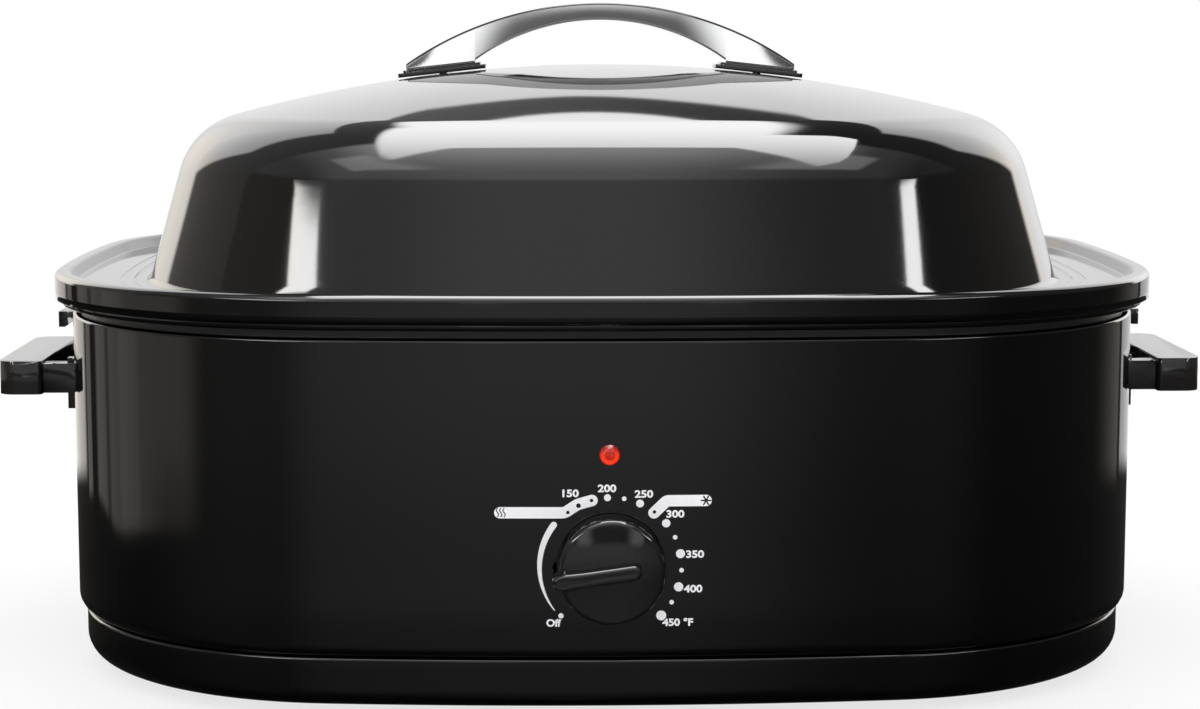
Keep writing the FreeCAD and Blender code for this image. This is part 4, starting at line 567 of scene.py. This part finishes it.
WELL_HALF_LENGTH = 218
WELL_PLAN = plan_outline(WELL_HALF_LENGTH, 195.5, 900, 115)
LINER = bright_liner()
liner_rows = np.concatenate([
    rows_round(WELL_PLAN, np.array([(-90, 40.0), (-64, 40)])),
    rows_round(WELL_PLAN, bent((-62, 40), (-22.8, 40, 26), (2.2, 177))),
    rows_round(BODY_PLAN, bent((-5, 177), (-5, 166), (-4, 166), (-4, 178, 0.8), (-6, 178))),
    rows_round(WELL_PLAN, bent((5, 178), (1, 178, 2), (-23.7, 41, 25), (-62, 41))),
    rows_round(WELL_PLAN, np.array([(-64, 41.0), (-90, 41)])),
])
piece(skin("well_liner", liner_rows, caps=("first", "last")), LINER, "oven", "bright_steel",
      "heating_well")
STEEL_PARTS = ("heat_shield", "thermostat_shaft", "knob_spring", "thermal_fuse")
for node in STEEL_PARTS:
    soften(node)
coat(LINER, *STEEL_PARTS)
coat(plain_solid("mica_sheet", (0.5, 0.42, 0.28), (0.78, 0.7, 0.55), 6, 0.1, (1, 1, 4), {"IOR": 1.56}),
     "heater_band_lower", "heater_band_upper")
coat(plain_solid("glass_felt", (0.7, 0.68, 0.62), (0.9, 0.88, 0.84), 3, 0.6, (1, 1, 3), {"IOR": 1.4}),
     "insulation_blanket")
coat(plain_solid("brown_phenolic", (0.035, 0.025, 0.018), (0.07, 0.05, 0.035), 4, 0.03, (1, 1, 1),
                 {"IOR": 1.55}), "thermostat_body")
coat(plain_solid("glazed_ceramic", (0.78, 0.77, 0.72), (0.9, 0.89, 0.85), 5, 0.02, (1, 1, 1),
                 {"IOR": 1.5}), "terminal_block")
coat(plain_solid("glass_sleeve", (0.66, 0.64, 0.56), (0.86, 0.84, 0.76), 0.7, 0.12, (2, 2, 2),
                 {"IOR": 1.45}), "internal_leads")
coat(plain_solid("lamp_glass", (0.9, 0.62, 0.45), (0.98, 0.8, 0.65), 2, 0.01, (1, 1, 1),
                 {"IOR": 1.5, "Transmission Weight": 0.8}), "neon_lamp")

# ---------------------------------------------------------------- control knob
# Glossy black thermoset moulding: a skirt with shallow flutes, a flat face with a rolled edge,
# and one straight grip whose long end is the pointer.


def knob_plastic():
    """Semi-gloss black plastic with a light texture and fine rub marks."""
    material, wire, shader = new_finish("knob_plastic", {"IOR": 1.54})
    wear = lumps(wire, 6)
    wear.blend(grey(0.004), grey(0.009)).feed(shader.inputs["Base Color"])
    (0.03 + 0.04 * wear).feed(shader.inputs["Roughness"])
    relief(lumps(wire, 1.2), 0.004, shader)
    return material


KNOB = knob_plastic()
POINTER_TURN = math.radians(8)
FLUTE_COUNT, FLUTE_DEPTH = 30, 0.3


def on_dial(rows):
    """Turn points made about the Y axis to the pointer's angle and move them to the dial."""
    cos, sin = math.cos(POINTER_TURN), math.sin(POINTER_TURN)
    x, y, z = rows[..., 0], rows[..., 1], rows[..., 2]
    return np.stack([x * cos - z * sin, y - BODY_HALF_DEPTH, x * sin + z * cos + DIAL[1]], axis=-1)


def flutes(turn, depth):
    """Depth of the shallow flutes round the skirt, (cos of their count times the turn) squared
    where that is above 0. They fade out at the face's rolled edge and at the skirt's foot."""
    fade = np.clip((depth + 10.3) / 1.2, 0, 1) * np.clip((-5 - depth) / 2, 0, 1)
    return FLUTE_DEPTH * np.maximum(0, np.cos(FLUTE_COUNT * turn)) ** 2 * fade


knob_rows = turned(np.concatenate([
    bent((6.4, -1.4), (6.4, -6), (20, -6), (20, -1.2), (23.4, -1.2, 0.3), (23.3, -4)),
    bent((23.2, -6), (23.1, -8), (22.9, -9.6)),
    bent((22.8, -10.1), (22.5, -12.7, 2.3), (19.2, -12.97), (16, -13.3), (12, -13.56), (8, -13.73),
         (4, -13.82), (1, -13.85), steps=8),
]), 360, flutes)
piece(skin("knob_body", on_dial(knob_rows), caps=("first", "last"), sharp=50), KNOB, "control",
      "black_knob", "control_knob")

# The grip's outline: a blunt pointer tip with a small notch, a side that widens towards the tip, a
# half-round tail, and the other side. Each level of the grip moves it in towards the middle line.
GRIP_HALF, GRIP_TAIL = 3.75, 9.2
tip = np.linspace(-1, 1, 30)
tip_reach = -19.8 - 6.0 * (1 - np.abs(tip) ** 4) + 0.8 * np.exp(-(tip / 0.2) ** 2)
tip_line = np.stack([tip_reach, 4.1 * tip], axis=1)
tail_turn = np.linspace(math.pi / 2, -math.pi / 2, 24)
tail_line = np.stack([GRIP_TAIL + GRIP_HALF * np.cos(tail_turn), GRIP_HALF * np.sin(tail_turn)], axis=1)
side_x = np.linspace(-19.2, 8.4, 24)
side_half = GRIP_HALF + 0.35 * np.clip((-8 - side_x) / 11, 0, 1) ** 2
grip_line = np.concatenate([tip_line, np.stack([side_x, side_half], axis=1), tail_line,
                            np.stack([side_x, -side_half], axis=1)[::-1]])[::-1]
middle_x = np.clip(grip_line[:, 0], -17.5, GRIP_TAIL)
inward = np.stack([middle_x, np.zeros(len(grip_line))], axis=1) - grip_line
inward /= np.linalg.norm(inward, axis=1)[:, None]
grip_levels = bent((0, -10), (0.5, -20.5, 1.5), (2.6, -20.5), (3.2, -20.45), steps=8)
grip_rows = np.empty((len(grip_levels), len(grip_line), 3))
grip_rows[..., 0] = grip_line[:, 0] + grip_levels[:, :1] * inward[:, 0]
grip_rows[..., 1] = grip_levels[:, 1:2]
grip_rows[..., 2] = grip_line[:, 1] + grip_levels[:, :1] * inward[:, 1]
piece(skin("knob_grip", on_dial(grip_rows), caps=("first", "last"), sharp=50), KNOB, "control",
      "black_knob")

# ---------------------------------------------------------------- carry handles and cord gland
# Satin black mouldings: a foot with ribs on each end wall, a grip that leaves a finger gap, and a
# hook above it that the lid's rim hangs on. The gland is a turned bush of the same plastic.


def moulding():
    """Satin black thermoset with a soft grain and slight flow marks."""
    material, wire, shader = new_finish("satin_moulding", {"IOR": 1.5})
    flow = lumps(wire, 9, (1, 1, 2))
    flow.blend(grey(0.009, (1.1, 1, 0.95)), grey(0.013, (1.08, 1, 0.94))).feed(shader.inputs["Base Color"])
    (0.045 + 0.04 * flow).feed(shader.inputs["Roughness"])
    relief(lumps(wire, 0.8) + 0.4 * lumps(wire, 6), 0.003, shader)
    return material


def round_edges(node, width):
    """Weld a moulded CAD node and round its real edges by a width in millimetres."""
    edge = weld(node).modifiers.new("edge", "BEVEL")
    edge.width, edge.segments, edge.limit_method = width / 1000, 2, "ANGLE"
    edge.angle_limit = math.radians(35)
    edge.harden_normals = True


HANDLES = ("carry_handle_right", "carry_handle_left")
for node in HANDLES:
    round_edges(node, 0.7)
soften("cord_gland")
coat(moulding(), *HANDLES, "cord_gland")

# ---------------------------------------------------------------- cookwell pan
# Deep enamelled pan. Its flange lies on the liner's flange, and its edge turns down to a rolled
# bead that shows under the lid's rim.

pan_rows = np.concatenate([
    rows_round(WELL_PLAN, np.array([(-100, 46.0), (-64, 46)])),
    rows_round(WELL_PLAN, bent((-62, 46), (-27.76, 46, 20), (-4.2, 176.8))),
    rows_round(BODY_PLAN, bent((-0.5, 178), (2, 178, 0.8), (2, 170, 0.5), (3.2, 169.7), steps=4)),
    rows_round(BODY_PLAN, bent((3.4, 169.6), (5.5, 169.6, 1.9), (5.5, 173.8, 1.9), (3.2, 173.8, 0.5),
                               (3, 179, 2), (0, 179), steps=9)),
    rows_round(WELL_PLAN, bent((-2, 179), (-5, 179, 1.6), (-28.7, 47, 19), (-62, 47), steps=10)),
    rows_round(WELL_PLAN, np.array([(-64, 47.0), (-100, 47)])),
])
piece(skin("pan_body", pan_rows, caps=("first", "last")), ENAMEL, "pan", "black_enamel", "cookwell_pan")

# ---------------------------------------------------------------- wire rack
# Steel wire, spot-welded and then chromed: a hoop with rungs across it, legs that hold it above
# the juices in the pan, and two bails to lift it out by.


def chrome_plate(name, edge_shade=None):
    """Mirror chrome with a faint haze and soft polishing lines, painted darker where the edge shade is 1,
    as a dark reflection.
    """
    material, wire, shader = new_finish(name, {"Metallic": 1})
    haze = lumps(wire, 20)
    plated = haze.blend(grey(0.78, (0.99, 1, 1.01)), grey(0.88))
    if edge_shade:
        # Painted reflection: where the edge shade is 1, the chrome's colour goes near black.
        plated = edge_shade(wire).blend(plated, grey(0.03))
    plated.feed(shader.inputs["Base Color"])
    (0.03 + 0.035 * haze).feed(shader.inputs["Roughness"])
    relief(lumps(wire, 8, (0.3, 1, 1)), 0.004, shader)
    return material


CHROME = chrome_plate("chrome_plate")
RACK = ("rack_hoop", "rack_legs", "rack_rungs", "rack_bails")
for node in RACK:
    soften(node, 50)
coat(CHROME, *RACK)

# ---------------------------------------------------------------- lid shell
# One deep drawing in enamelled steel: a turned-down skirt, a raised rim, a dished flange with two
# fine pressed steps beside the dome, and the dome itself.

FOOT = (218.28, 184.0, 4.0)
SHOULDER = (166.37, 221.42, 36.0)
CROWN = (-421.4, 700.0)
DRAFT, CROWN_TURN = math.radians(15.5), math.radians(14.51)
STEP_PLACES, STEP_WIDTH, STEP_HEIGHT = (0.66, 0.86), 0.028, 0.55
LID_SHEET = 1.0


def dome_rows(line):
    """Rows for (reach, height) points of the dome's section along its length. Up to the well's
    half length a row is the well's outline times reach over half length; beyond it, the outline
    is moved out by the rest."""
    points, normals = WELL_PLAN
    reach = line[:, :1, None]
    rows = np.empty((len(line), len(points), 3))
    rows[..., :2] = (points * np.minimum(reach / WELL_HALF_LENGTH, 1)
                     + normals * np.maximum(reach - WELL_HALF_LENGTH, 0))
    rows[..., 2] = line[:, 1:2]
    return rows


def arc(middle_out, middle_up, radius, start, stop, count):
    """Points middle + radius (cos a, sin a) between two angles in radians."""
    turn = np.linspace(start, stop, count)
    return np.stack([middle_out + radius * np.cos(turn), middle_up + radius * np.sin(turn)], axis=1)


# Skirt and rim, then the flange's land from the rim to the dome's foot with its two pressed steps,
# then foot, wall, shoulder and crown.
rim_rows = rows_round(BODY_PLAN, bent((8, 172.6), (8, 176), (8, 185, 3), (1, 185, 3), (-2.5, 180, 1),
                                      (-3.4, 180), steps=8))
foot_arc = arc(*FOOT, math.radians(-90), math.radians(-90) - (math.pi / 2 - DRAFT), 7)
shoulder_arc = arc(*SHOULDER, DRAFT, math.pi / 2 - CROWN_TURN, 30)
wall_line = foot_arc[-1] + np.linspace(0, 1, 16)[1:-1, None] * (shoulder_arc[0] - foot_arc[-1])
crown_out = shoulder_arc[-1, 0] * np.linspace(1, 0.02, 34)[1:]
crown_line = np.stack([crown_out, CROWN[0] + np.sqrt(CROWN[1] ** 2 - crown_out ** 2)], axis=1)
upper_rows = dome_rows(np.concatenate([foot_arc, wall_line, shoulder_arc, crown_line]))
share = np.linspace(0, 1, 44)[1:-1, None, None]
land_rows = rim_rows[-1] * (1 - share) + upper_rows[0] * share
land_width = np.linalg.norm(rim_rows[-1] - upper_rows[0], axis=1)
steps = sum(np.exp(-((share - place) / STEP_WIDTH) ** 2) for place in STEP_PLACES)
land_rows[..., 2] += STEP_HEIGHT * steps[..., 0] * np.clip((land_width - 5) / 14, 0, 1)
lid_rows = np.concatenate([rim_rows, land_rows, upper_rows])
lid = piece(skin("lid_pressing", lid_rows, caps=("last",)), ENAMEL, "lid", "black_enamel", "lid_shell")
gauge = lid.modifiers.new("gauge", "SOLIDIFY")
gauge.thickness, gauge.offset = LID_SHEET / 1000, -1

# ---------------------------------------------------------------- lid handle
# Chromed die-cast arch on two thin stepped pads of glossy black plastic. Two screws from inside
# the dome hold it, with a sealing washer under each head.

ARCH_OUTER, ARCH_INNER = (140.6, 168.0), (194.4, 106.0)
ARCH_HALF_DEPTH = 13.0
SEAT_REACH, SEAT_GAP = 77.5, 0.3
SEAT_TURN = math.asin(SEAT_REACH / CROWN[1])
SEAT_SPOT = np.array((SEAT_REACH, CROWN[0] + math.sqrt(CROWN[1] ** 2 - SEAT_REACH ** 2) + SEAT_GAP))


def seat_spot(along, up):
    """Point beside the seat: along the crown's slope outwards and square to it."""
    slope = np.array((math.cos(SEAT_TURN), -math.sin(SEAT_TURN)))
    square = np.array((math.sin(SEAT_TURN), math.cos(SEAT_TURN)))
    return SEAT_SPOT + along * slope + up * square


def arch_rows():
    """Sections of the arch at stations along its length. Each is a rectangle between the inner
    and the outer line with corners rounded as quarter circles; its faces bow in by
    2 (x / 90)^2 mm towards the tips. The inner line is the foot beyond the heel."""
    toe, heel = seat_spot(16.5, 3.2), seat_spot(-16.5, 3.2)
    tip = toe[0] + 0.9
    half = np.concatenate([tip - np.array([0, 0.25, 0.6, 1.2, 2.2]), np.linspace(tip - 4, heel[0], 16),
                           np.linspace(heel[0] - 0.05, 0, 30)])
    x = np.concatenate([-half, half[-2::-1]])
    reach = np.abs(x)
    high = ARCH_OUTER[0] + np.sqrt(ARCH_OUTER[1] ** 2 - x ** 2)
    foot = np.interp(reach, (heel[0], toe[0], tip), (heel[1], toe[1], toe[1] + 0.1))
    inner = ARCH_INNER[0] + np.sqrt(ARCH_INNER[1] ** 2 - np.minimum(reach, 100) ** 2)
    low = np.where(reach < heel[0], inner, foot)
    depth = ARCH_HALF_DEPTH - 2 * (x / 90) ** 2
    round_off = np.minimum(1.1, (high - low) * 0.45)[:, None]
    turn = np.radians(np.concatenate([np.linspace(start, start + 90, 5) for start in (90, 180, 270, 0)]))
    front, top = np.repeat((-1, -1, 1, 1), 5), np.repeat((1, 0, 0, 1), 5)
    rows = np.empty((len(x), 20, 3))
    rows[..., 0] = x[:, None]
    rows[..., 1] = front * (depth[:, None] - round_off) + round_off * np.cos(turn)
    rows[..., 2] = (np.where(top, high[:, None] - round_off, low[:, None] + round_off)
                    + round_off * np.sin(turn))
    return rows


def painted_dark_edge(wire):
    """1 on a painted dark reflection along the arch's upper edges, front and back: within 1 mm of
    the outer arc, and outside the flat of the top."""
    spot = wire.node("ShaderNodeTexCoord", output="Object")
    x, y, z = [spot.node("ShaderNodeSeparateXYZ", {}, {0: spot}, axis) for axis in "XYZ"]
    up = z - ARCH_OUTER[0] / 1000
    reach = (x * x + up * up).math("SQRT")
    return reach.step(0.1668, 0.1672) * y.math("ABSOLUTE").step(0.0098, 0.0104)


piece(skin("handle_arch", arch_rows(), caps=("first", "last"), sharp=50),
      chrome_plate("arch_chrome", painted_dark_edge), "lid", "chrome", "lid_handle")

PADS = ("lid_handle_pad_right", "lid_handle_pad_left")
for node in PADS:
    round_edges(node, 0.5)
coat(KNOB, *PADS)

# ---------------------------------------------------------------- studio
# Camera, pale floor and soft overhead lamp. White surroundings light the enamel; what its gloss
# mirrors is a back wall, an overhead softbox, a front screen, two tall strips and a dim room.

AZIMUTH, PITCH = math.radians(-1.35), math.radians(7.09)
CAMERA_REACH, CAMERA_HEIGHT = 1.292, 0.2948
camera = bpy.data.objects.new("camera", bpy.data.cameras.new("camera"))
bpy.context.scene.collection.objects.link(camera)
camera.data.sensor_width, camera.data.lens = 36, 77.94
camera.location = (CAMERA_REACH * math.sin(AZIMUTH), -CAMERA_REACH * math.cos(AZIMUTH), CAMERA_HEIGHT)
camera.rotation_euler = (math.pi / 2 - PITCH, 0, AZIMUTH)
camera.data.clip_start, camera.data.clip_end = 0.05, 50
bpy.context.scene.camera = camera

# The camera sees the floor nearly white and it catches the soft shadow, but a mirrored ray goes
# through it, so that the gloss mirrors only the surroundings below the horizon.
floor_mesh = bpy.data.meshes.new("floor")
floor_mesh.from_pydata([(-1.5, -1.2, 0), (1.5, -1.2, 0), (1.5, 1.5, 0), (-1.5, 1.5, 0)], [],
                       [(0, 1, 2, 3)])
floor = bpy.data.objects.new("floor", floor_mesh)
bpy.context.scene.collection.objects.link(floor)
pale, wire, lit = new_finish("pale_floor", {"Base Color": grey(0.86), "Roughness": 0.9})
spot = wire.node("ShaderNodeTexCoord", output="Object")
reach = spot.node("ShaderNodeVectorMath", {"operation": "LENGTH"}, {0: spot}, "Value")
looked_at = wire.node("ShaderNodeLightPath", output="Is Camera Ray")
white = wire.node("ShaderNodeEmission", {}, {"Color": grey(1), "Strength": 1.0})
cover = looked_at * (0.75 + 0.25 * reach.step(0.3, 0.9))
seen_floor = wire.node("ShaderNodeMixShader", {}, {0: cover, 1: Wire(wire.tree, lit.outputs[0]), 2: white})
clear = wire.node("ShaderNodeBsdfTransparent")
mirrored_ray = wire.node("ShaderNodeLightPath", output="Is Glossy Ray")
both = wire.node("ShaderNodeMixShader", {}, {0: mirrored_ray, 1: seen_floor, 2: clear})
both.feed(wire.tree.nodes["Material Output"].inputs["Surface"])
floor_mesh.materials.append(pale)

# The surroundings that the gloss mirrors, as functions of the direction looked in: "over" runs
# from the horizon behind (0) through the zenith (90) to the horizon in front (180); "turn" is the
# heading from straight in front, to the right; "across" and "back" are x and y over height.
world = bpy.data.worlds.new("studio")
bpy.context.scene.world = world
world.use_nodes = True
wire = Wire(world.node_tree)
way = wire.node("ShaderNodeTexCoord", output="Generated")
x, y, z = [way.node("ShaderNodeSeparateXYZ", {}, {0: way}, axis) for axis in "XYZ"]
DEGREES = 180 / math.pi
over = z.math("ARCTAN2", y) * DEGREES
rise = z.math("ARCSINE") * DEGREES
turn = x.math("ARCTAN2", -1 * y) * DEGREES
side = x.math("ARCSINE") * DEGREES
left = -1 * side
height = z.math("MAXIMUM", 0.02)
across, back = x.math("DIVIDE", height), y.math("DIVIDE", height)
above = z.step(0.0, 0.06)

# Lit wall behind, from the horizon up to a top edge that dips in the middle.
behind = (turn.math("ABSOLUTE") + 0.6 * (rise - 10).math("MAXIMUM", 0)).step(128, 134)
aside = across - 0.035
wall_top = (2.33 - 3.4 * (aside * aside + 0.0064).math("SQRT")
            - 3.0 * (aside.math("ABSOLUTE") - 0.19).math("MAXIMUM", 0)).math("MAXIMUM", 0.45)
side_light = ((side.math("ABSOLUTE") - 15) * 0.0625).math("MAXIMUM", 0)
wall_light = (0.85 + 0.05 * over + side_light).math("MINIMUM", 3.4)
back_wall = behind * rise.step(-3, -1) * (back - wall_top).step(-0.05, 0.08) * wall_light

# Softbox overhead, with a bowed far edge and weaker with distance.
SOFTBOX_LIGHT = 14.5
near_edge = -0.31 - 2.8 * ((across - 0.01).math("ABSOLUTE") - 0.16).math("MAXIMUM", 0)
far_edge = 1.66 - 17.3 * aside * aside
left_edge = 0.13 * back.math("MINIMUM", 0.6) - 0.225
right_edge = (0.19 + 1.6 * (0.18 - back).math("MAXIMUM", 0)).math("MINIMUM", 0.59)
softbox = ((back - near_edge).step(0, 0.05) * (far_edge - back).step(0, 0.06)
           * (across - left_edge).step(0, 0.03) * (right_edge - across).step(0, 0.03)
           * above * (1 + 1.2 * back * back).math("POWER", -1) * SOFTBOX_LIGHT)

# Screen in front, dimmer to the sides and brighter overhead, with a bright patch at each side.
# Behind it the ceiling is dark, apart from the softbox.
evenness = (1 - 0.64 * side.step(2, 20) - 0.2 * side.step(30, 50) - 0.3 * left.step(6, 18)
            - 0.38 * left.step(28, 45))
glow = 2.9 * (1 - over.step(100, 148)) * (1 - side.math("ABSOLUTE").step(12, 30))
halo = 1.8 * across.math("ABSOLUTE").band(0.36, 0.58, 0.1) * (-1 * back).band(0.55, 1.05, 0.15)
screen = evenness * (0.92 + 0.8 * rise.step(24.3, 30) + glow) + halo
ceiling = 0.45 - 0.29 * side.step(-8, 6)
front = ceiling + over.step(93, 99) * (screen - ceiling)

# Two leaning strips in front.
STRIP_LIGHT = 19
lean = 3.5 * (rise - 23.5)
left_strip = (turn + lean).band(-54.5, -38.5, 0.8)
right_strip = (turn - lean).band(46.3, 55.5, 0.8)
strips = STRIP_LIGHT * (left_strip + right_strip) * rise.band(17, 23.8, 1.0)

# Dim room below the horizon: a slow change with the heading, a glass door with a bright opening
# beside it at the left, another opening at the right, and two pale cards beside the camera.
drop = -1 * rise
low = (0.05 + 0.13 * turn.step(-100, -45) + 0.32 * turn.step(-34, -4) - 0.36 * turn.step(3, 19)
       - 0.09 * turn.step(30, 60))
low = low * (1 - 0.35 * drop.step(7, 12) - 0.25 * drop.step(12.5, 14.5) - 0.3 * drop.step(30, 75))
door_foot = 1 - (drop - 0.85 * turn.step(-130, -108)).step(9.8, 10.1)
door_glass = 0.42 * turn.step(-128, -125) * (1 - turn.step(-73, -60)) + 0.14 * turn.band(-106, -97, 3)
door_glass = door_glass - 0.24 * turn.band(-117.5, -116, 1.5)
doorway = (door_glass * door_foot * (1 - 0.5 * turn.step(-95, -80) * drop.step(8.5, 10.8))
           + 0.36 * turn.band(-137, -133, 1) * door_foot
           + 1.1 * (1 - turn.step(-142, -138)) * (1 - drop.step(9.2, 9.8))
           + 0.24 * turn.step(110, 136) * (1 - turn.step(136, 137.5)) * (1 - drop.step(9.2, 9.9))
           + 0.9 * turn.step(139, 141) * (1 - drop.step(9.0, 9.6)))
off_axis = (turn - 1.15).math("ABSOLUTE")
level = rise.band(-3, 5, 2)
card = 1.2 * level * off_axis.step(4.0, 6.8) * (1 - off_axis.step(8.6, 8.9))
low = ((low + doorway) * (1 - level * (1 - off_axis.step(40, 60)) * 0.75)
       + card * (1 - off_axis.step(30, 40)))

# A mirrored or refracted ray meets all of this, the camera plain white, and other rays a soft pale
# light; the sides of the room are a little warm.
mirrored = (low + above * (front - low)).math("MAXIMUM", back_wall).math("MAXIMUM", softbox)
mirrored = mirrored.math("MAXIMUM", strips)
light_path = {name: wire.node("ShaderNodeLightPath", output=name)
              for name in ("Is Camera Ray", "Is Glossy Ray", "Is Transmission Ray")}
seen = light_path["Is Camera Ray"]
glossy = light_path["Is Glossy Ray"].math("MAXIMUM", light_path["Is Transmission Ray"])
soft = 0.92 + 0.25 * rise.step(-10, 60)
strength = glossy * mirrored + (1 - glossy) * (seen + (1 - seen) * soft)
warm_side = (-1 * turn).band(60, 150, 20) + turn.band(80, 134, 6)
warmth = glossy * warm_side * (1 - rise.step(20, 35))
tint = warmth.blend((1, 1, 1, 1), (1.06, 1, 0.92, 1))
wire.node("ShaderNodeBackground", {}, {"Color": tint, "Strength": strength}).feed(
    world.node_tree.nodes["World Output"].inputs["Surface"])

lamp = bpy.data.objects.new("overhead", bpy.data.lights.new("overhead", "AREA"))
lamp.data.shape, lamp.data.size, lamp.data.size_y, lamp.data.energy = "RECTANGLE", 1.4, 0.9, 6
lamp.location = (0, 0.1, 1.5)
lamp.visible_glossy = False
bpy.context.scene.collection.objects.link(lamp)
bpy.context.scene.view_settings.view_transform = "Standard"
